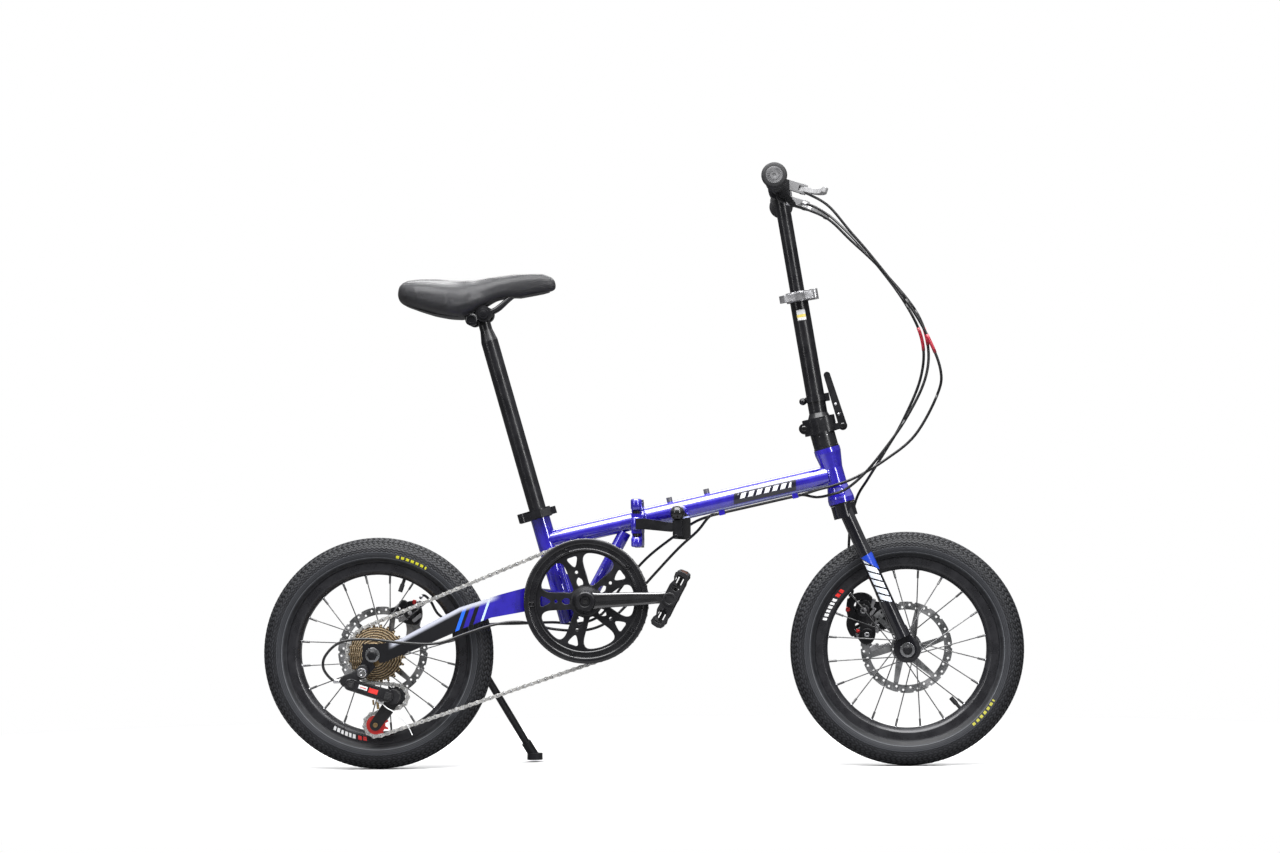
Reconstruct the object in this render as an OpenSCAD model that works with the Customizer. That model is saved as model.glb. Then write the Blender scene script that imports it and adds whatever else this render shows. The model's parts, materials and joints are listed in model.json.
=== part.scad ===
// Folding bicycle, 16 inch wheels, seven speeds, two disc brakes.
// Millimetres. +X is forward, +Y is the rider's left, +Z is up.
// The origin is on the ground, half way between the two axles, in the middle plane.

/* [View] */
// Which sub-part to draw

/* [Wheels] */
// Width of the tyre section
tyre_w = 50; // [46:0.5:50]
// Spokes in each wheel
spokes = 20; // [16:4:28]
// Brake rotor diameter
rotor_d = 160; // [156:1:160]

/* [Frame] */
// Outer diameter of the front main tube
main_tube_d = 36; // [34:0.5:38]
// Outer diameter of the rear main tube
rear_tube_d = 32; // [30:0.5:34]
// Outer diameter of the seat tube
seat_tube_d = 34; // [33.5:0.1:36]
// Diameter of the fork blades
blade_d = 24; // [21:0.5:24]

/* [Rider fit] */
// How far the seatpost is pulled out compared with the normal position
seat_up = 0; // [-40:5:20]
// Width over the ends of the handlebar
bar_w = 560; // [540:5:600]

/* [Drive] */
// Crank length from axle to pedal
crank_len = 152; // [145:1:155]
// Teeth on the chainring
ring_teeth = 52; // [52:1:52]

/* [Hidden] */
$fn = 64;

blue = [0.16, 0.12, 0.72];
black = [0.08, 0.08, 0.09];
dark = [0.18, 0.18, 0.19];
silver = [0.75, 0.76, 0.78];
bronze = [0.55, 0.43, 0.27];
red = [0.8, 0.1, 0.1];

// Main places
half_wheelbase = 462.5;
axle_height = 202.5;
rear_centre = [-half_wheelbase, 0, axle_height];
front_centre = [half_wheelbase, 0, axle_height];
crank_centre = [-91, 0, 292];
seat_top = [-179, 0, 451];       // top of the seat tube
head_base = [353.5, 0, 457];     // bottom of the head tube
hinge_centre = [317.8, 0, 592];  // middle of the handlepost hinge plane
bar_centre = [251.2, 0, 1004.6];
saddle_pivot = [-268, 0, 795];   // saddle tilt axis
kick_pivot = [-312, 76, 207];
hanger_bolt = [-479, 0, 172.6];  // where the derailleur hangs

// Angles from upright, leaning back
seat_lean = 15.4;
head_lean = 15;
post_lean = 9;
hinge_lean = 12;

// Shared sizes
head_len = 98;
seatpost_r = 15;
inner_post_r = 12.7;
bar_end_r = 11.1;
bar_mid_r = 12.7;
tube_wall = 1.8;
axle_slot_r = 5.1;   // dropout slots and hub bores
axle_r = 4.9;

// Frame hinge: two plates meet at joint_x, pin on the left, latch on the right
joint_x = -3;
joint_gap = 0.05;                 // from each plate to joint_x
plate_t = 8.95;
rear_plate_x = joint_x - joint_gap - plate_t;
front_plate_x = joint_x + joint_gap;
hinge_pin_at = [joint_x, 36];     // x, y
latch_bolt_at = [joint_x, -37];   // x, y
hinge_pin_r = 5;

// Main tube axis
tube_slope = 12.2;
function main_z(x) = 432 + x * tan(tube_slope);
function on_axis(x) = [x, 0, main_z(x)];

// ---------- helpers ----------
// Many parts come in left and right pairs; "hand" is 1 on the left, -1 on the right.

// straight round bar between two points
module rod(start, end, radius) {
  run = end - start;
  length = norm(run);
  translate(start)
    rotate([0, acos(run[2] / length), atan2(run[1], run[0])])
      cylinder(h = length, r = radius);
}
// round bar along Y through the x and z of a point, between two y values in any order
module ybar(at, y0, y1, radius) {
  translate([at[0], max(y0, y1), at[2]]) rotate([90, 0, 0])
    cylinder(h = abs(y1 - y0), r = radius);
}
// round bar along Z
module zbar(z0, z1, radius, at = [0, 0]) {
  translate([at[0], at[1], z0]) cylinder(h = z1 - z0, r = radius);
}
// flat shape drawn in x-z and thickened between two y values in any order
module slab(y0, y1, at = [0, 0, 0]) {
  translate([at[0], max(y0, y1), at[2]]) rotate([90, 0, 0])
    linear_extrude(abs(y1 - y0)) children();
}
// profile drawn as radius, y and turned round a Y axis
module spun(at) {
  translate(at) rotate([-90, 0, 0]) rotate_extrude($fn = 96) children();
}
// copies turned round a Y axis, evenly spaced
module around(at, count, turn = 0) {
  for (i = [0:count - 1])
    translate(at) rotate([0, turn + i * 360 / count, 0]) children();
}
// frames that lean back from a point
module lean(at, angle) { translate(at) rotate([0, -angle, 0]) children(); }
module at_seat() { lean(seat_top, seat_lean) children(); }
module at_head() { lean(head_base, head_lean) children(); }
module at_hinge() { lean(hinge_centre, hinge_lean) children(); }
module at_post() { lean(hinge_centre, post_lean) children(); }
module on_tube(x) { lean(on_axis(x), tube_slope) children(); }

module ring(outer, inner) {
  difference() {
    circle(r = outer);
    circle(r = inner);
  }
}
// two round ends joined by straight sides, drawn flat
module slot(start, end, start_r, end_r) {
  run = end - start;
  length = norm(run);
  taper = asin((start_r - end_r) / length);
  inset = 0.08;   // keeps the sides just inside the circles
  x0 = start_r * sin(taper);
  y0 = start_r * cos(taper) - inset;
  x1 = length + end_r * sin(taper);
  y1 = end_r * cos(taper) - inset;
  translate(start) rotate(atan2(run[1], run[0])) {
    circle(start_r);
    translate([length, 0]) circle(end_r);
    polygon([[x0, y0], [x1, y1], [x1, -y1], [x0, -y0]]);
  }
}
function xz(point) = [point[0], point[2]];
// a point, or a list of 2D points, with y carried to one hand
function to_hand(point, hand) = [point[0], hand * point[1], point[2]];
function mirrored(points, hand) = [for (point = points) [point[0], hand * point[1]]];
function reversed(list) = [for (i = [len(list) - 1:-1:0]) list[i]];
function polar(radius, angle, y = 0) = [radius * cos(angle), y, radius * sin(angle)];

// Catmull-Rom curve through points, with so many steps to each span
function curve_at(points, i, t) = let (
    before = points[max(i - 1, 0)],
    here = points[i],
    next = points[i + 1],
    after = points[min(i + 2, len(points) - 1)])
  0.5 * (2 * here + (next - before) * t
    + (2 * before - 5 * here + 4 * next - after) * t * t
    + (3 * here - before - 3 * next + after) * t * t * t);
function curve(points, steps) = [
  for (i = [0:len(points) - 2], k = [0:steps - 1]) curve_at(points, i, k / steps),
  points[len(points) - 1]
];
function unit(vector) = vector / norm(vector);
function tangent(path, i) = unit(path[min(i + 1, len(path) - 1)] - path[max(i - 1, 0)]);
function normal_to(dir) = unit(cross(dir, abs(dir[1]) < 0.9 ? [0, 1, 0] : [1, 0, 0]));

// toothed outline, with the tips and roots measured from the pitch circle
module teeth(count, tip, root) {
  radius = pitch_r(count);
  // columns: share of a tooth, offset from the pitch circle
  tooth = [[-0.27, -root], [-0.09, tip], [0.09, tip], [0.27, -root]];
  polygon([for (i = [0:count - 1], k = tooth)
    let (angle = (i + 0.5 + k[0]) * 360 / count)
      (radius + k[1]) * [cos(angle), sin(angle)]]);
}
// teeth with the tips trimmed round
module sprocket(count) {
  intersection() {
    teeth(count, 2.2, 4.2);
    circle(r = pitch_r(count) + 1.9);
  }
}
// axle bore with an open slot below it
module dropout_cut(at, y0, y1, tilt = 0) {
  depth = 30;
  ybar(at, y0, y1, axle_slot_r);
  translate([at[0], min(y0, y1), at[2]]) rotate([0, -tilt, 0])
    translate([-axle_slot_r, 0, -depth])
      cube([2 * axle_slot_r, abs(y1 - y0), depth]);
}

// ---------- frame hinge, shared by both halves ----------
rear_knuckles = [[386, 408], [440, 462]];   // z ranges
front_knuckle = [408.3, 439.7];
knuckle_room_r = 9;

module frame_plate(x0) {
  translate([x0, 0, 0]) rotate([90, 0, 90]) linear_extrude(plate_t) union() {
    translate([-24, 392]) square([48, 64]);
    for (z = [398, 450]) translate([0, z]) slot([-18, 0], [18, 0], 12.4, 12.4);
  }
}
module frame_knuckle(x0, z_range) {
  zbar(z_range[0], z_range[1], 8.5, hinge_pin_at);
  translate([x0, 20, z_range[0]]) cube([plate_t, 16, z_range[1] - z_range[0]]);
}
module latch_ears(x0) {
  for (z = [408, 436]) translate([x0, -44, z]) cube([plate_t, 26, 6]);
}
module frame_joint_bores() {
  zbar(380, 470, hinge_pin_r + 0.05, hinge_pin_at);
  zbar(400, 450, 3.5, latch_bolt_at);
}

// ---------- frame, rear half ----------
shell_half = 34;         // half width of the crank shell
shell_bore_r = 17.4;
dropout_y = [65, 71.5];  // inner and outer face

// yoke and stays in side view: x, z
stay_side = [
  [-91, 308], [-150, 309], [-200, 315], [-243, 304], [-311, 283], [-370, 253],
  [-416, 229], [-448, 222], [-482, 222], [-482, 185], [-440, 190], [-416, 201],
  [-320, 241], [-260, 264], [-200, 274], [-150, 277], [-91, 276]
];
// yoke and left stay from above: x, y
stay_plan = [
  [-91, 0], [-91, 31], [-190, 34], [-215, 40], [-250, 47], [-300, 56], [-380, 71.5],
  [-480, 71.5], [-480, 65], [-400, 65], [-380, 57], [-300, 38], [-262, 30],
  [-250, 20], [-246, 0]
];

module stays() {
  intersection() {
    slab(-80, 80) polygon(stay_side);
    linear_extrude(400) for (s = [-1, 1]) polygon(mirrored(stay_plan, s));
  }
}
module rear_frame() color(blue) difference() {
  union() {
    at_seat() zbar(-204, 0, seat_tube_d / 2);
    rod(on_axis(-160), on_axis(-10), rear_tube_d / 2);
    // strut to the crank shell
    rod([-26, 0, 410], crank_centre, 11);
    // crank shell
    ybar(crank_centre, -shell_half, shell_half, 20.5);
    // gusset plate
    slab(-3, 3) polygon([[-152, 300], [-118, 300], [-112, 330], [-160, 352]]);
    stays();
    // dropout ends
    for (s = [-1, 1]) ybar(rear_centre, s * dropout_y[0], s * dropout_y[1], 19);
    // hanger
    slab(-dropout_y[0], -dropout_y[1]) slot([-464, 196], xz(hanger_bolt), 14, 10);
    // kickstand plate under the left stay
    slab(60, 66)
      polygon([[-336, 233], [-298, 250], [-298, 207], [-312, 195], [-330, 200]]);
    slab(48, 62) polygon([[-338, 236], [-304, 250], [-304, 243], [-338, 226]]);
    frame_plate(rear_plate_x);
    for (z_range = rear_knuckles) frame_knuckle(rear_plate_x, z_range);
    latch_ears(rear_plate_x);
  }
  // seatpost bore and the slit behind it
  at_seat() {
    zbar(-420, 20, seatpost_r + 0.1);
    translate([-30, -1.5, -28]) cube([20, 3, 40]);
  }
  ybar(crank_centre, -40, 40, shell_bore_r);
  // insides of the main tube and the strut
  rod(on_axis(-158), on_axis(-13), rear_tube_d / 2 - tube_wall);
  rod([-34.45, 0, 394.66], [-76.05, 0, 319.14], 11 - tube_wall);
  for (s = [-1, 1]) dropout_cut(rear_centre, s * 60, s * 76, 25);
  ybar(hanger_bolt, -76, -60, 5.1);
  ybar(kick_pivot, 55, 80, 5.1);
  frame_joint_bores();
  // room for the middle knuckle
  zbar(rear_knuckles[0][1], rear_knuckles[1][0], knuckle_room_r, hinge_pin_at);
  // latch bolt slot
  translate([-14, -46, 414]) cube([14, 16, 22]);
}

module bb_cartridge() color(dark) difference() {
  union() {
    ybar(crank_centre, -shell_half, shell_half, shell_bore_r - 0.1);
    for (s = [-1, 1]) ybar(crank_centre, s * (shell_half + 0.1), s * 37, 21);
  }
  ybar(crank_centre, -40, 40, 8.6);
  // six small holes in each end cup
  for (s = [-1, 1])
    around(crank_centre, 6) ybar([17.5, 0, 0], s * 32.5, s * 38.5, 1.6);
}

module frame_hinge_pin() color(silver) {
  zbar(383, 465, hinge_pin_r, hinge_pin_at);
  for (z = [381.9, 462.1]) zbar(z, z + 4, 8, hinge_pin_at);
}

// ---------- quick clamps on the two posts ----------
// Drawn round a post along Z, near z = 0; facing is 1 for ears in front, -1 behind.
ear_x = [15, 35];
clamp_bolt_x = 28;
// lever blade with the ears in front: x, y
clamp_blade = [
  [28, -30], [12, -33], [-6, -32.5], [-24, -27], [-33, -18], [-29, -14],
  [-20, -20], [-6, -25.5], [12, -26], [26, -19]
];

// band with ears, bolt, nut and washer
module clamp_collar(facing, radius) {
  bolt = [facing * clamp_bolt_x, 0, -7.5];
  zbar(-16, 1, radius);
  translate([min(facing * ear_x[0], facing * ear_x[1]), -11, -16])
    cube([ear_x[1] - ear_x[0], 22, 17]);
  ybar(bolt, -17.2, 13.8, 3);
  ybar(bolt, 10.5, 18, 7);
  ybar(bolt, -17.2, -10.4, 5.6);
}
// cam barrel at the end of the bolt, and a blade that wraps the right side
module clamp_lever(facing) {
  zbar(-15.5, 0.5, 7, [facing * clamp_bolt_x, -24.5]);
  translate([0, 0, -15]) linear_extrude(13) difference() {
    polygon([for (point = clamp_blade) [facing * point[0], point[1]]]);
    circle(24.5);
  }
}

module seat_collar() color(black) at_seat() difference() {
  clamp_collar(-1, 22);
  zbar(-18, 4, seat_tube_d / 2 + 0.05);
  translate([-24.5, -1.5, -18]) cube([10, 3, 24]);
}
module seat_collar_lever() color(black) at_seat() clamp_lever(-1);

// ---------- seatpost and saddle ----------
post_neck_r = 11;
rail_r = 3.5;
// left rail, front to rear; the middle run has its own ends
rail_nose = [-172, 10, 822];
rail_bend_front = [-222, 20, 799];
rail_bend_rear = [-308, 20, 794.8];
rail_tail = [-368, 30, 809];

module seatpost() color(black) at_seat() translate([0, 0, seat_up]) difference() {
  union() {
    zbar(-140, 308, seatpost_r);
    translate([0, 0, 308]) cylinder(h = 20, r1 = seatpost_r, r2 = post_neck_r);
    zbar(328, 346, post_neck_r);
  }
  zbar(-141, 299, 12.6);
}

// side view: x, z
saddle_side = curve([
  [-415, 852], [-395, 857], [-360, 856], [-312, 851], [-260, 856], [-215, 862],
  [-186, 864], [-160, 862], [-142, 852], [-139, 840], [-146, 830], [-172, 831],
  [-205, 823], [-245, 812], [-280, 795], [-305, 785], [-335, 789], [-380, 799],
  [-410, 811], [-419, 832]
], 3);
// left half from above, nose to tail: x, y
saddle_plan = curve([
  [-139, 0], [-145, 14], [-170, 20], [-215, 23], [-255, 30], [-295, 50], [-335, 68],
  [-375, 75], [-403, 68], [-417, 44], [-420, 20], [-421, 0]
], 4);

// carries the saddle along the seat tube with the post
module with_seat() {
  translate(seat_up * [-sin(seat_lean), 0, cos(seat_lean)]) children();
}
module saddle_rails(radius, middle_front, middle_rear) {
  for (s = [-1, 1]) {
    rod(to_hand(rail_nose, s), to_hand(rail_bend_front, s), radius);
    rod(to_hand(middle_front, s), to_hand(middle_rear, s), radius);
    rod(to_hand(rail_bend_rear, s), to_hand(rail_tail, s), radius);
  }
}
module saddle_pad() color(black) with_seat() intersection() {
  difference() {
    slab(-90, 90) polygon(saddle_side);
    // hollows under the seat and the nose
    translate([-398, -60, 770]) cube([178, 120, 44]);
    translate([-242, -24, 780]) cube([88, 48, 48]);
  }
  linear_extrude(1000) polygon(concat(saddle_plan,
    [for (i = [len(saddle_plan) - 2:-1:1]) [saddle_plan[i][0], -saddle_plan[i][1]]]));
}
module saddle_base() color(dark) with_seat() union() {
  translate([-391, -56, 809.6]) cube([160, 112, 4]);
  translate([-238, -21, 810.6]) rotate([0, -42, 0]) cube([14, 42, 3]);
  translate([-229, -21, 821]) cube([73, 42, 5]);
  saddle_rails(rail_r, [-220.5, 19.8, 799.6], [-310, 20, 795]);
}
module saddle_clamp() color(dark) with_seat() difference() {
  union() {
    ybar(saddle_pivot, -28, 28, 14);
    for (s = [-1, 1]) {
      ybar([-289, 0, 785], s * 12, s * 28, 11);
      ybar(saddle_pivot, s * 28, s * 31, 9);
    }
  }
  // socket for the top of the post
  at_seat() zbar(300, 346.2, 15.3);
  translate([saddle_pivot[0] - 22, -11.6, saddle_pivot[2] - 40]) cube([40, 23.2, 35.2]);
  saddle_rails(rail_r + 0.2, [-219, 19.8, 799.7], [-312, 20, 794.9]);
}

// ---------- frame, front half ----------
boss_x = [57, 122];
hoop_x = [140, 268];
hoop_hole_y = 5.5;
steerer_r = 14.3;
// head tube wall: radius, height
head_profile = [
  [10, 0], [23, 0], [23, 8], [20.5, 20], [18, 30], [18, 62], [20.5, 76], [23, 90],
  [23, head_len], [10, head_len]
];
// catch block on the right of the tube: x, z
catch_side = [[60, 436], [86, 440], [90, 432], [90, 402], [84, 396], [60, 398]];

module front_frame() color(blue) difference() {
  union() {
    rod(on_axis(2), on_axis(330), main_tube_d / 2);
    at_head() rotate_extrude() polygon(head_profile);
    frame_plate(front_plate_x);
    frame_knuckle(front_plate_x, front_knuckle);
    latch_ears(front_plate_x);
    // two threaded bosses on top
    for (x = boss_x) on_tube(x) zbar(15, 26, 5);
    // cable hoops under the tube
    for (x = hoop_x) on_tube(x)
      translate([-5, -11, -main_tube_d / 2 - 7]) cube([10, 22, 9]);
    // catch block with its knob
    slab(-47, -15) polygon(catch_side);
    zbar(436, 448, 9, [75, -33]);
    translate([75, -33, 446]) sphere(r = 9);
  }
  // head tube bore and bearing seats
  at_head() {
    zbar(-5, head_len + 5, 15.2);
    zbar(-0.1, 10, 19);
    zbar(head_len - 10, head_len + 0.1, 19);
  }
  rod(on_axis(8), on_axis(323), main_tube_d / 2 - tube_wall);
  for (x = boss_x) on_tube(x) zbar(10, 27, 2.5);
  for (x = hoop_x, y = [-hoop_hole_y, hoop_hole_y]) on_tube(x)
    translate([-10, y, -main_tube_d / 2 - 3.2]) rotate([0, 90, 0])
      cylinder(h = 20, r = 3.3);
  frame_joint_bores();
  // room for the outer knuckles
  zbar(380, 408.2, knuckle_room_r, hinge_pin_at);
  zbar(439.8, 470, knuckle_room_r, hinge_pin_at);
  // latch bolt slot
  translate([-6, -46, 414]) cube([14, 16, 22]);
  // slot in the catch for the end of the latch lever
  translate([50, -49, 409]) cube([22, 17.5, 18]);
}

module headset() color(silver) at_head() difference() {
  // bearing cups, outer flanges and thin inner rings
  union() {
    for (z = [0.1, head_len - 9.9]) zbar(z, z + 9.8, 18.9);
    zbar(head_len + 0.1, head_len + 3.1, 22);
    zbar(-3, -0.1, 22);
    for (z = [-2, head_len - 1]) zbar(z, z + 3, 17);
  }
  zbar(-8, head_len + 12, steerer_r + 0.1);
}

// latch lever: x, z
latch_side = [
  [-4, 434], [14, 433.5], [56, 426], [70.5, 426], [70.5, 410], [56, 410],
  [14, 414.5], [-4, 415.5]
];
module frame_latch() color(black) {
  // bolt through the ears, its two heads and the barrel between
  zbar(404, 446, 3.4, latch_bolt_at);
  for (z = [402.9, 442.1]) zbar(z, z + 5, 6.5, latch_bolt_at);
  zbar(414.3, 435.7, 7, latch_bolt_at);
  difference() {
    slab(-49.8, -38.5) polygon(latch_side);
    // finger hollow
    zbar(400, 440, 8.1, [30, -34]);
  }
}

// ---------- fork and handlepost ----------
crown_z = [-26, -3.2];
crown_half = 47;   // y of the tops of the blades
front_caliper_bolts = [[386, 0, 262], [400, 0, 246]];
// caliper tab on the left blade: x, z
fork_tab = [[432, 278], [444, 240], [404, 226], [372, 250], [376, 282], [398, 286]];

module fork() color(black) difference() {
  union() {
    at_head() {
      zbar(crown_z[0], head_len + 20, steerer_r);
      translate([0, 0, crown_z[0]]) linear_extrude(crown_z[1] - crown_z[0])
        slot([0, -crown_half], [0, crown_half], 13.5, 13.5);
      zbar(crown_z[0], crown_z[1], 21);
    }
    for (s = [-1, 1]) {
      rod([358, s * crown_half, 446], [455.5, s * 56, 224], blade_d / 2);
      slab(s * 50, s * 56) slot([453, 232], xz(front_centre), 13, 16);
    }
    slab(47, 53) polygon(fork_tab);
  }
  at_head() zbar(-30, 130, 11.6);
  for (s = [-1, 1]) {
    rod([362, s * 47.4, 437], [452, s * 55.7, 232], blade_d / 2 - 2);
    dropout_cut(front_centre, s * 45, s * 60);
  }
  for (bolt = front_caliper_bolts) ybar(bolt, 44, 56, 3.1);
}

// handlepost hinge, in the frame of the hinge plane: pin behind, latch in front
post_pin = [-29, 0, 0];
post_pin_r = 4;
post_knuckle_r = 9;
post_latch_pivot = [38, 0, -9];
outer_post_r = 16;
outer_post_top = 233;

module hinge_plan() {
  slot([-8, 0], [7, 0], 22, 20);
  translate([-28, -20]) square([20, 40]);
}
module post_base() color(black) difference() {
  union() {
    at_head() zbar(head_len + 3.4, head_len + 29.4, 21.5);
    at_hinge() {
      translate([0, 0, -14]) linear_extrude(13.95) hinge_plan();
      // outer knuckles and the pin
      for (y = [-22, 12.2]) ybar(post_pin, y, y + 9.8, post_knuckle_r);
      ybar(post_pin, -26, 26, post_pin_r);
      // ears for the latch in front, and its pivot
      for (y = [-12, 7]) translate([16, y, -13.5]) cube([28, 5, 11]);
      ybar(post_latch_pivot, -14, 14, 3);
    }
  }
  at_head() zbar(head_len - 4, head_len + 20.4, steerer_r + 0.1);
  // room round the pin for the middle knuckle of the post
  at_hinge() difference() {
    ybar(post_pin, -12, 12, post_knuckle_r + 0.4);
    ybar(post_pin, -26, 26, post_pin_r);
  }
}
module handlepost() color(black) difference() {
  union() {
    at_hinge() {
      translate([0, 0, 0.1]) linear_extrude(14) hinge_plan();
      ybar(post_pin, -11.9, 11.9, post_knuckle_r);
      // hook that the latch lever pulls on
      translate([12, -6, 0.1]) cube([15.5, 12, 14]);
    }
    at_post() {
      translate([0, 0, 10]) cylinder(h = 12, r1 = 21, r2 = outer_post_r);
      zbar(5, outer_post_top, outer_post_r);
      // lower band with its ball behind and a block in front
      zbar(42, 52, 18.5);
      translate([-23, 0, 46]) sphere(r = 6.5);
      translate([15, -6, 40]) cube([9, 12, 14]);
    }
  }
  at_post() {
    zbar(18, 258, inner_post_r + 0.1);
    translate([10, -1.5, 195]) cube([10, 3, 45]);
  }
  at_hinge() {
    ybar(post_pin, -30, 30, post_pin_r + 0.05);
    // room for the outer knuckles
    for (y = [-30, 12]) ybar(post_pin, y, y + 18, post_knuckle_r + 0.4);
    translate([-40, -30, -20]) cube([30, 60, 10.9]);
  }
}
module post_latch() color(black) at_hinge() slab(-6, 6) difference() {
  union() {
    translate(xz(post_latch_pivot)) circle(r = 7.8);
    translate([30.5, 83]) circle(r = 5.8);
    polygon([[30.8, -6], [45.2, -6], [36.2, 83], [24.8, 83]]);
  }
  translate(xz(post_latch_pivot)) circle(r = 3.1);
}

post_clamp_z = 235;   // height of the clamp frame up the post
module post_collar() color(silver) at_post() difference() {
  translate([0, 0, post_clamp_z]) clamp_collar(1, 21.5);
  zbar(210, outer_post_top + 0.1, outer_post_r + 0.05);
  zbar(210, 250, inner_post_r + 0.15);
  translate([14, -1.5, 210]) cube([10.5, 3, 34]);
}
module post_collar_lever() color(silver) at_post()
  translate([0, 0, post_clamp_z]) clamp_lever(1);

module inner_post() color(black) difference() {
  union() {
    at_post() zbar(130, 406, inner_post_r);
    // clamp round the bar
    ybar(bar_centre, -22, 22, 19);
  }
  at_post() zbar(129, 391, inner_post_r - 2.2);
  ybar(bar_centre, -30, 30, bar_mid_r + 0.1);
}
module handlebar() color(black) difference() {
  union() {
    ybar(bar_centre, -bar_w / 2, bar_w / 2, bar_end_r);
    ybar(bar_centre, -40, 40, bar_mid_r);
    for (s = [-1, 1])
      translate([bar_centre[0], s * 40, bar_centre[2]]) rotate([-s * 90, 0, 0])
        cylinder(h = 14, r1 = bar_mid_r, r2 = bar_end_r);
  }
  for (s = [-1, 1]) ybar(bar_centre, s * 60, s * (bar_w / 2 + 1), bar_end_r - 2);
}
// left grip: radius, y
grip_profile = [
  [bar_end_r + 0.1, 164], [17.5, 164], [17.5, 168], [15, 171], [15.5, 270], [18, 276],
  [18, 282], [15, 284], [5, 284], [5, 281], [bar_end_r + 0.1, 280.5]
];
module grips() color(dark) for (s = [-1, 1]) difference() {
  union() {
    spun(bar_centre) polygon(mirrored(grip_profile, s));
    ybar(bar_centre, s * 281, s * 284, 9);
  }
}

// ---------- controls on the bar ----------
perch_y = 146;
lever_tilt = 18;      // the levers point down by this much
lever_pivot_x = 45;   // ahead of the bar centre
shifter_y = -98;
// left lever blade from above: x, y from the perch
lever_blade = curve([
  [40, -4], [58, -3], [74, 20], [86, 60], [90, 100], [87, 112], [81, 108], [80, 98],
  [76, 62], [64, 28], [50, 10], [40, 4]
], 3);

module at_perch(hand) {
  translate([bar_centre[0], hand * perch_y, bar_centre[2]])
    rotate([0, lever_tilt, 0]) children();
}
module at_shifter() {
  translate([bar_centre[0], shifter_y, bar_centre[2]]) rotate([0, 60, 0])
    translate([20, 0, 0]) children();
}
module perch(hand) {
  difference() {
    union() {
      ybar(bar_centre, hand * (perch_y - 8), hand * (perch_y + 8), 16);
      at_perch(hand) {
        translate([12, -7.5, -8]) cube([40, 15, 16]);
        // barrel where the cable enters
        ybar([32, 0, 0], -hand * 27, -hand * 4, 5.6);
      }
    }
    ybar(bar_centre, hand * 130, hand * 160, bar_end_r + 0.1);
    // fork that holds the lever blade
    at_perch(hand) translate([38.4, -12, -4.2]) cube([30, 24, 8.4]);
  }
  // pivot pin
  at_perch(hand) zbar(-9, 9, 3, [lever_pivot_x, 0]);
}
module bar_controls() color(dark) {
  perch(1);
  perch(-1);
  // shifter body inboard of the right perch
  difference() {
    union() {
      ybar(bar_centre, shifter_y - 6, shifter_y + 6, 16);
      at_shifter() ybar([0, 0, 0], -11, 11, 14);
    }
    ybar(bar_centre, -160, -60, bar_end_r + 0.1);
  }
}
module brake_lever(hand) {
  at_perch(hand) difference() {
    union() {
      zbar(-4, 4, 6.5, [lever_pivot_x, 0]);
      translate([0, 0, -4]) linear_extrude(8) polygon(mirrored(lever_blade, hand));
    }
    zbar(-10, 10, 3.1, [lever_pivot_x, 0]);
  }
}
module brake_lever_left() color(silver) brake_lever(1);
module brake_lever_right() color(silver) brake_lever(-1);
module shift_lever() color(black) at_shifter()
  translate([0, -11.2, 0]) rotate([90, 0, 0]) {
    cylinder(h = 6, r = 8.4);
    linear_extrude(5) slot([0, 0], [24, 4], 6, 5);
  }

// ---------- cables ----------
cable_r = 2.4;
// a point hung below the axis of the main tube
function below_tube(x, y, drop = 21.8) = [x, y, main_z(x) - drop];

// flexible round cable along points
module cable(points) {
  sides = 8;
  path = curve(points, 4);
  last = len(path) - 1;
  skin = [for (i = [0:last])
    let (dir = tangent(path, i), out = normal_to(dir), across = cross(dir, out))
    for (k = [0:sides - 1])
      path[i] + cable_r * (cos(360 * k / sides) * out + sin(360 * k / sides) * across)];
  faces = concat(
    [[for (k = [0:sides - 1]) k]],
    [[for (k = [sides - 1:-1:0]) last * sides + k]],
    [for (i = [0:last - 1], k = [0:sides - 1])
      [i * sides + k, (i + 1) * sides + k, (i + 1) * sides + (k + 1) % sides]],
    [for (i = [0:last - 1], k = [0:sides - 1])
      [i * sides + k, (i + 1) * sides + (k + 1) % sides, i * sides + (k + 1) % sides]]);
  polyhedron(skin, faces, convexity = 6);
}

// Each path runs from the handlebar to the part it works: x, y, z
front_brake_path = [
  [292, 106, 991], [316, 84, 980], [352, 44, 950], [412, -6, 880], [468, -30, 800],
  [496, -34, 734], [492, -30, 670], [460, -14, 596], [430, 8, 546], [400, 32, 499],
  [380, 54, 466], [368, 71, 420], [364, 74, 370], [364, 68, 334], [368, 58, 309]
];
rear_brake_path = [
  [284, -115, 992], [304, -104, 986], [338, -90, 966], [374, -80, 923],
  [408, -71, 883], [467, -63, 806], [503, -59, 745], [526, -53, 684], [520, -46, 641],
  [481, -39, 572], [429, -36, 530], [377, -32, 500], [340, -22, 487], [312, -13, 480],
  below_tube(285, -hoop_hole_y, 21.9), below_tube(268, -hoop_hole_y),
  below_tube(204, -hoop_hole_y), below_tube(140, -hoop_hole_y),
  below_tube(122, -5, 22.6), [96, 3, 426], [60, 18, 402], [10, 34, 364],
  [-34, 38, 316], [-70, 37, 267], [-110, 36, 250], [-160, 39, 252], [-220, 52, 250],
  [-262, 67, 249], [-300, 75, 247], [-335, 79, 248], [-366, 80, 266], [-380, 77, 290],
  [-391, 70, 301], [-397.6, 65.8, 295.4]
];
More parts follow.
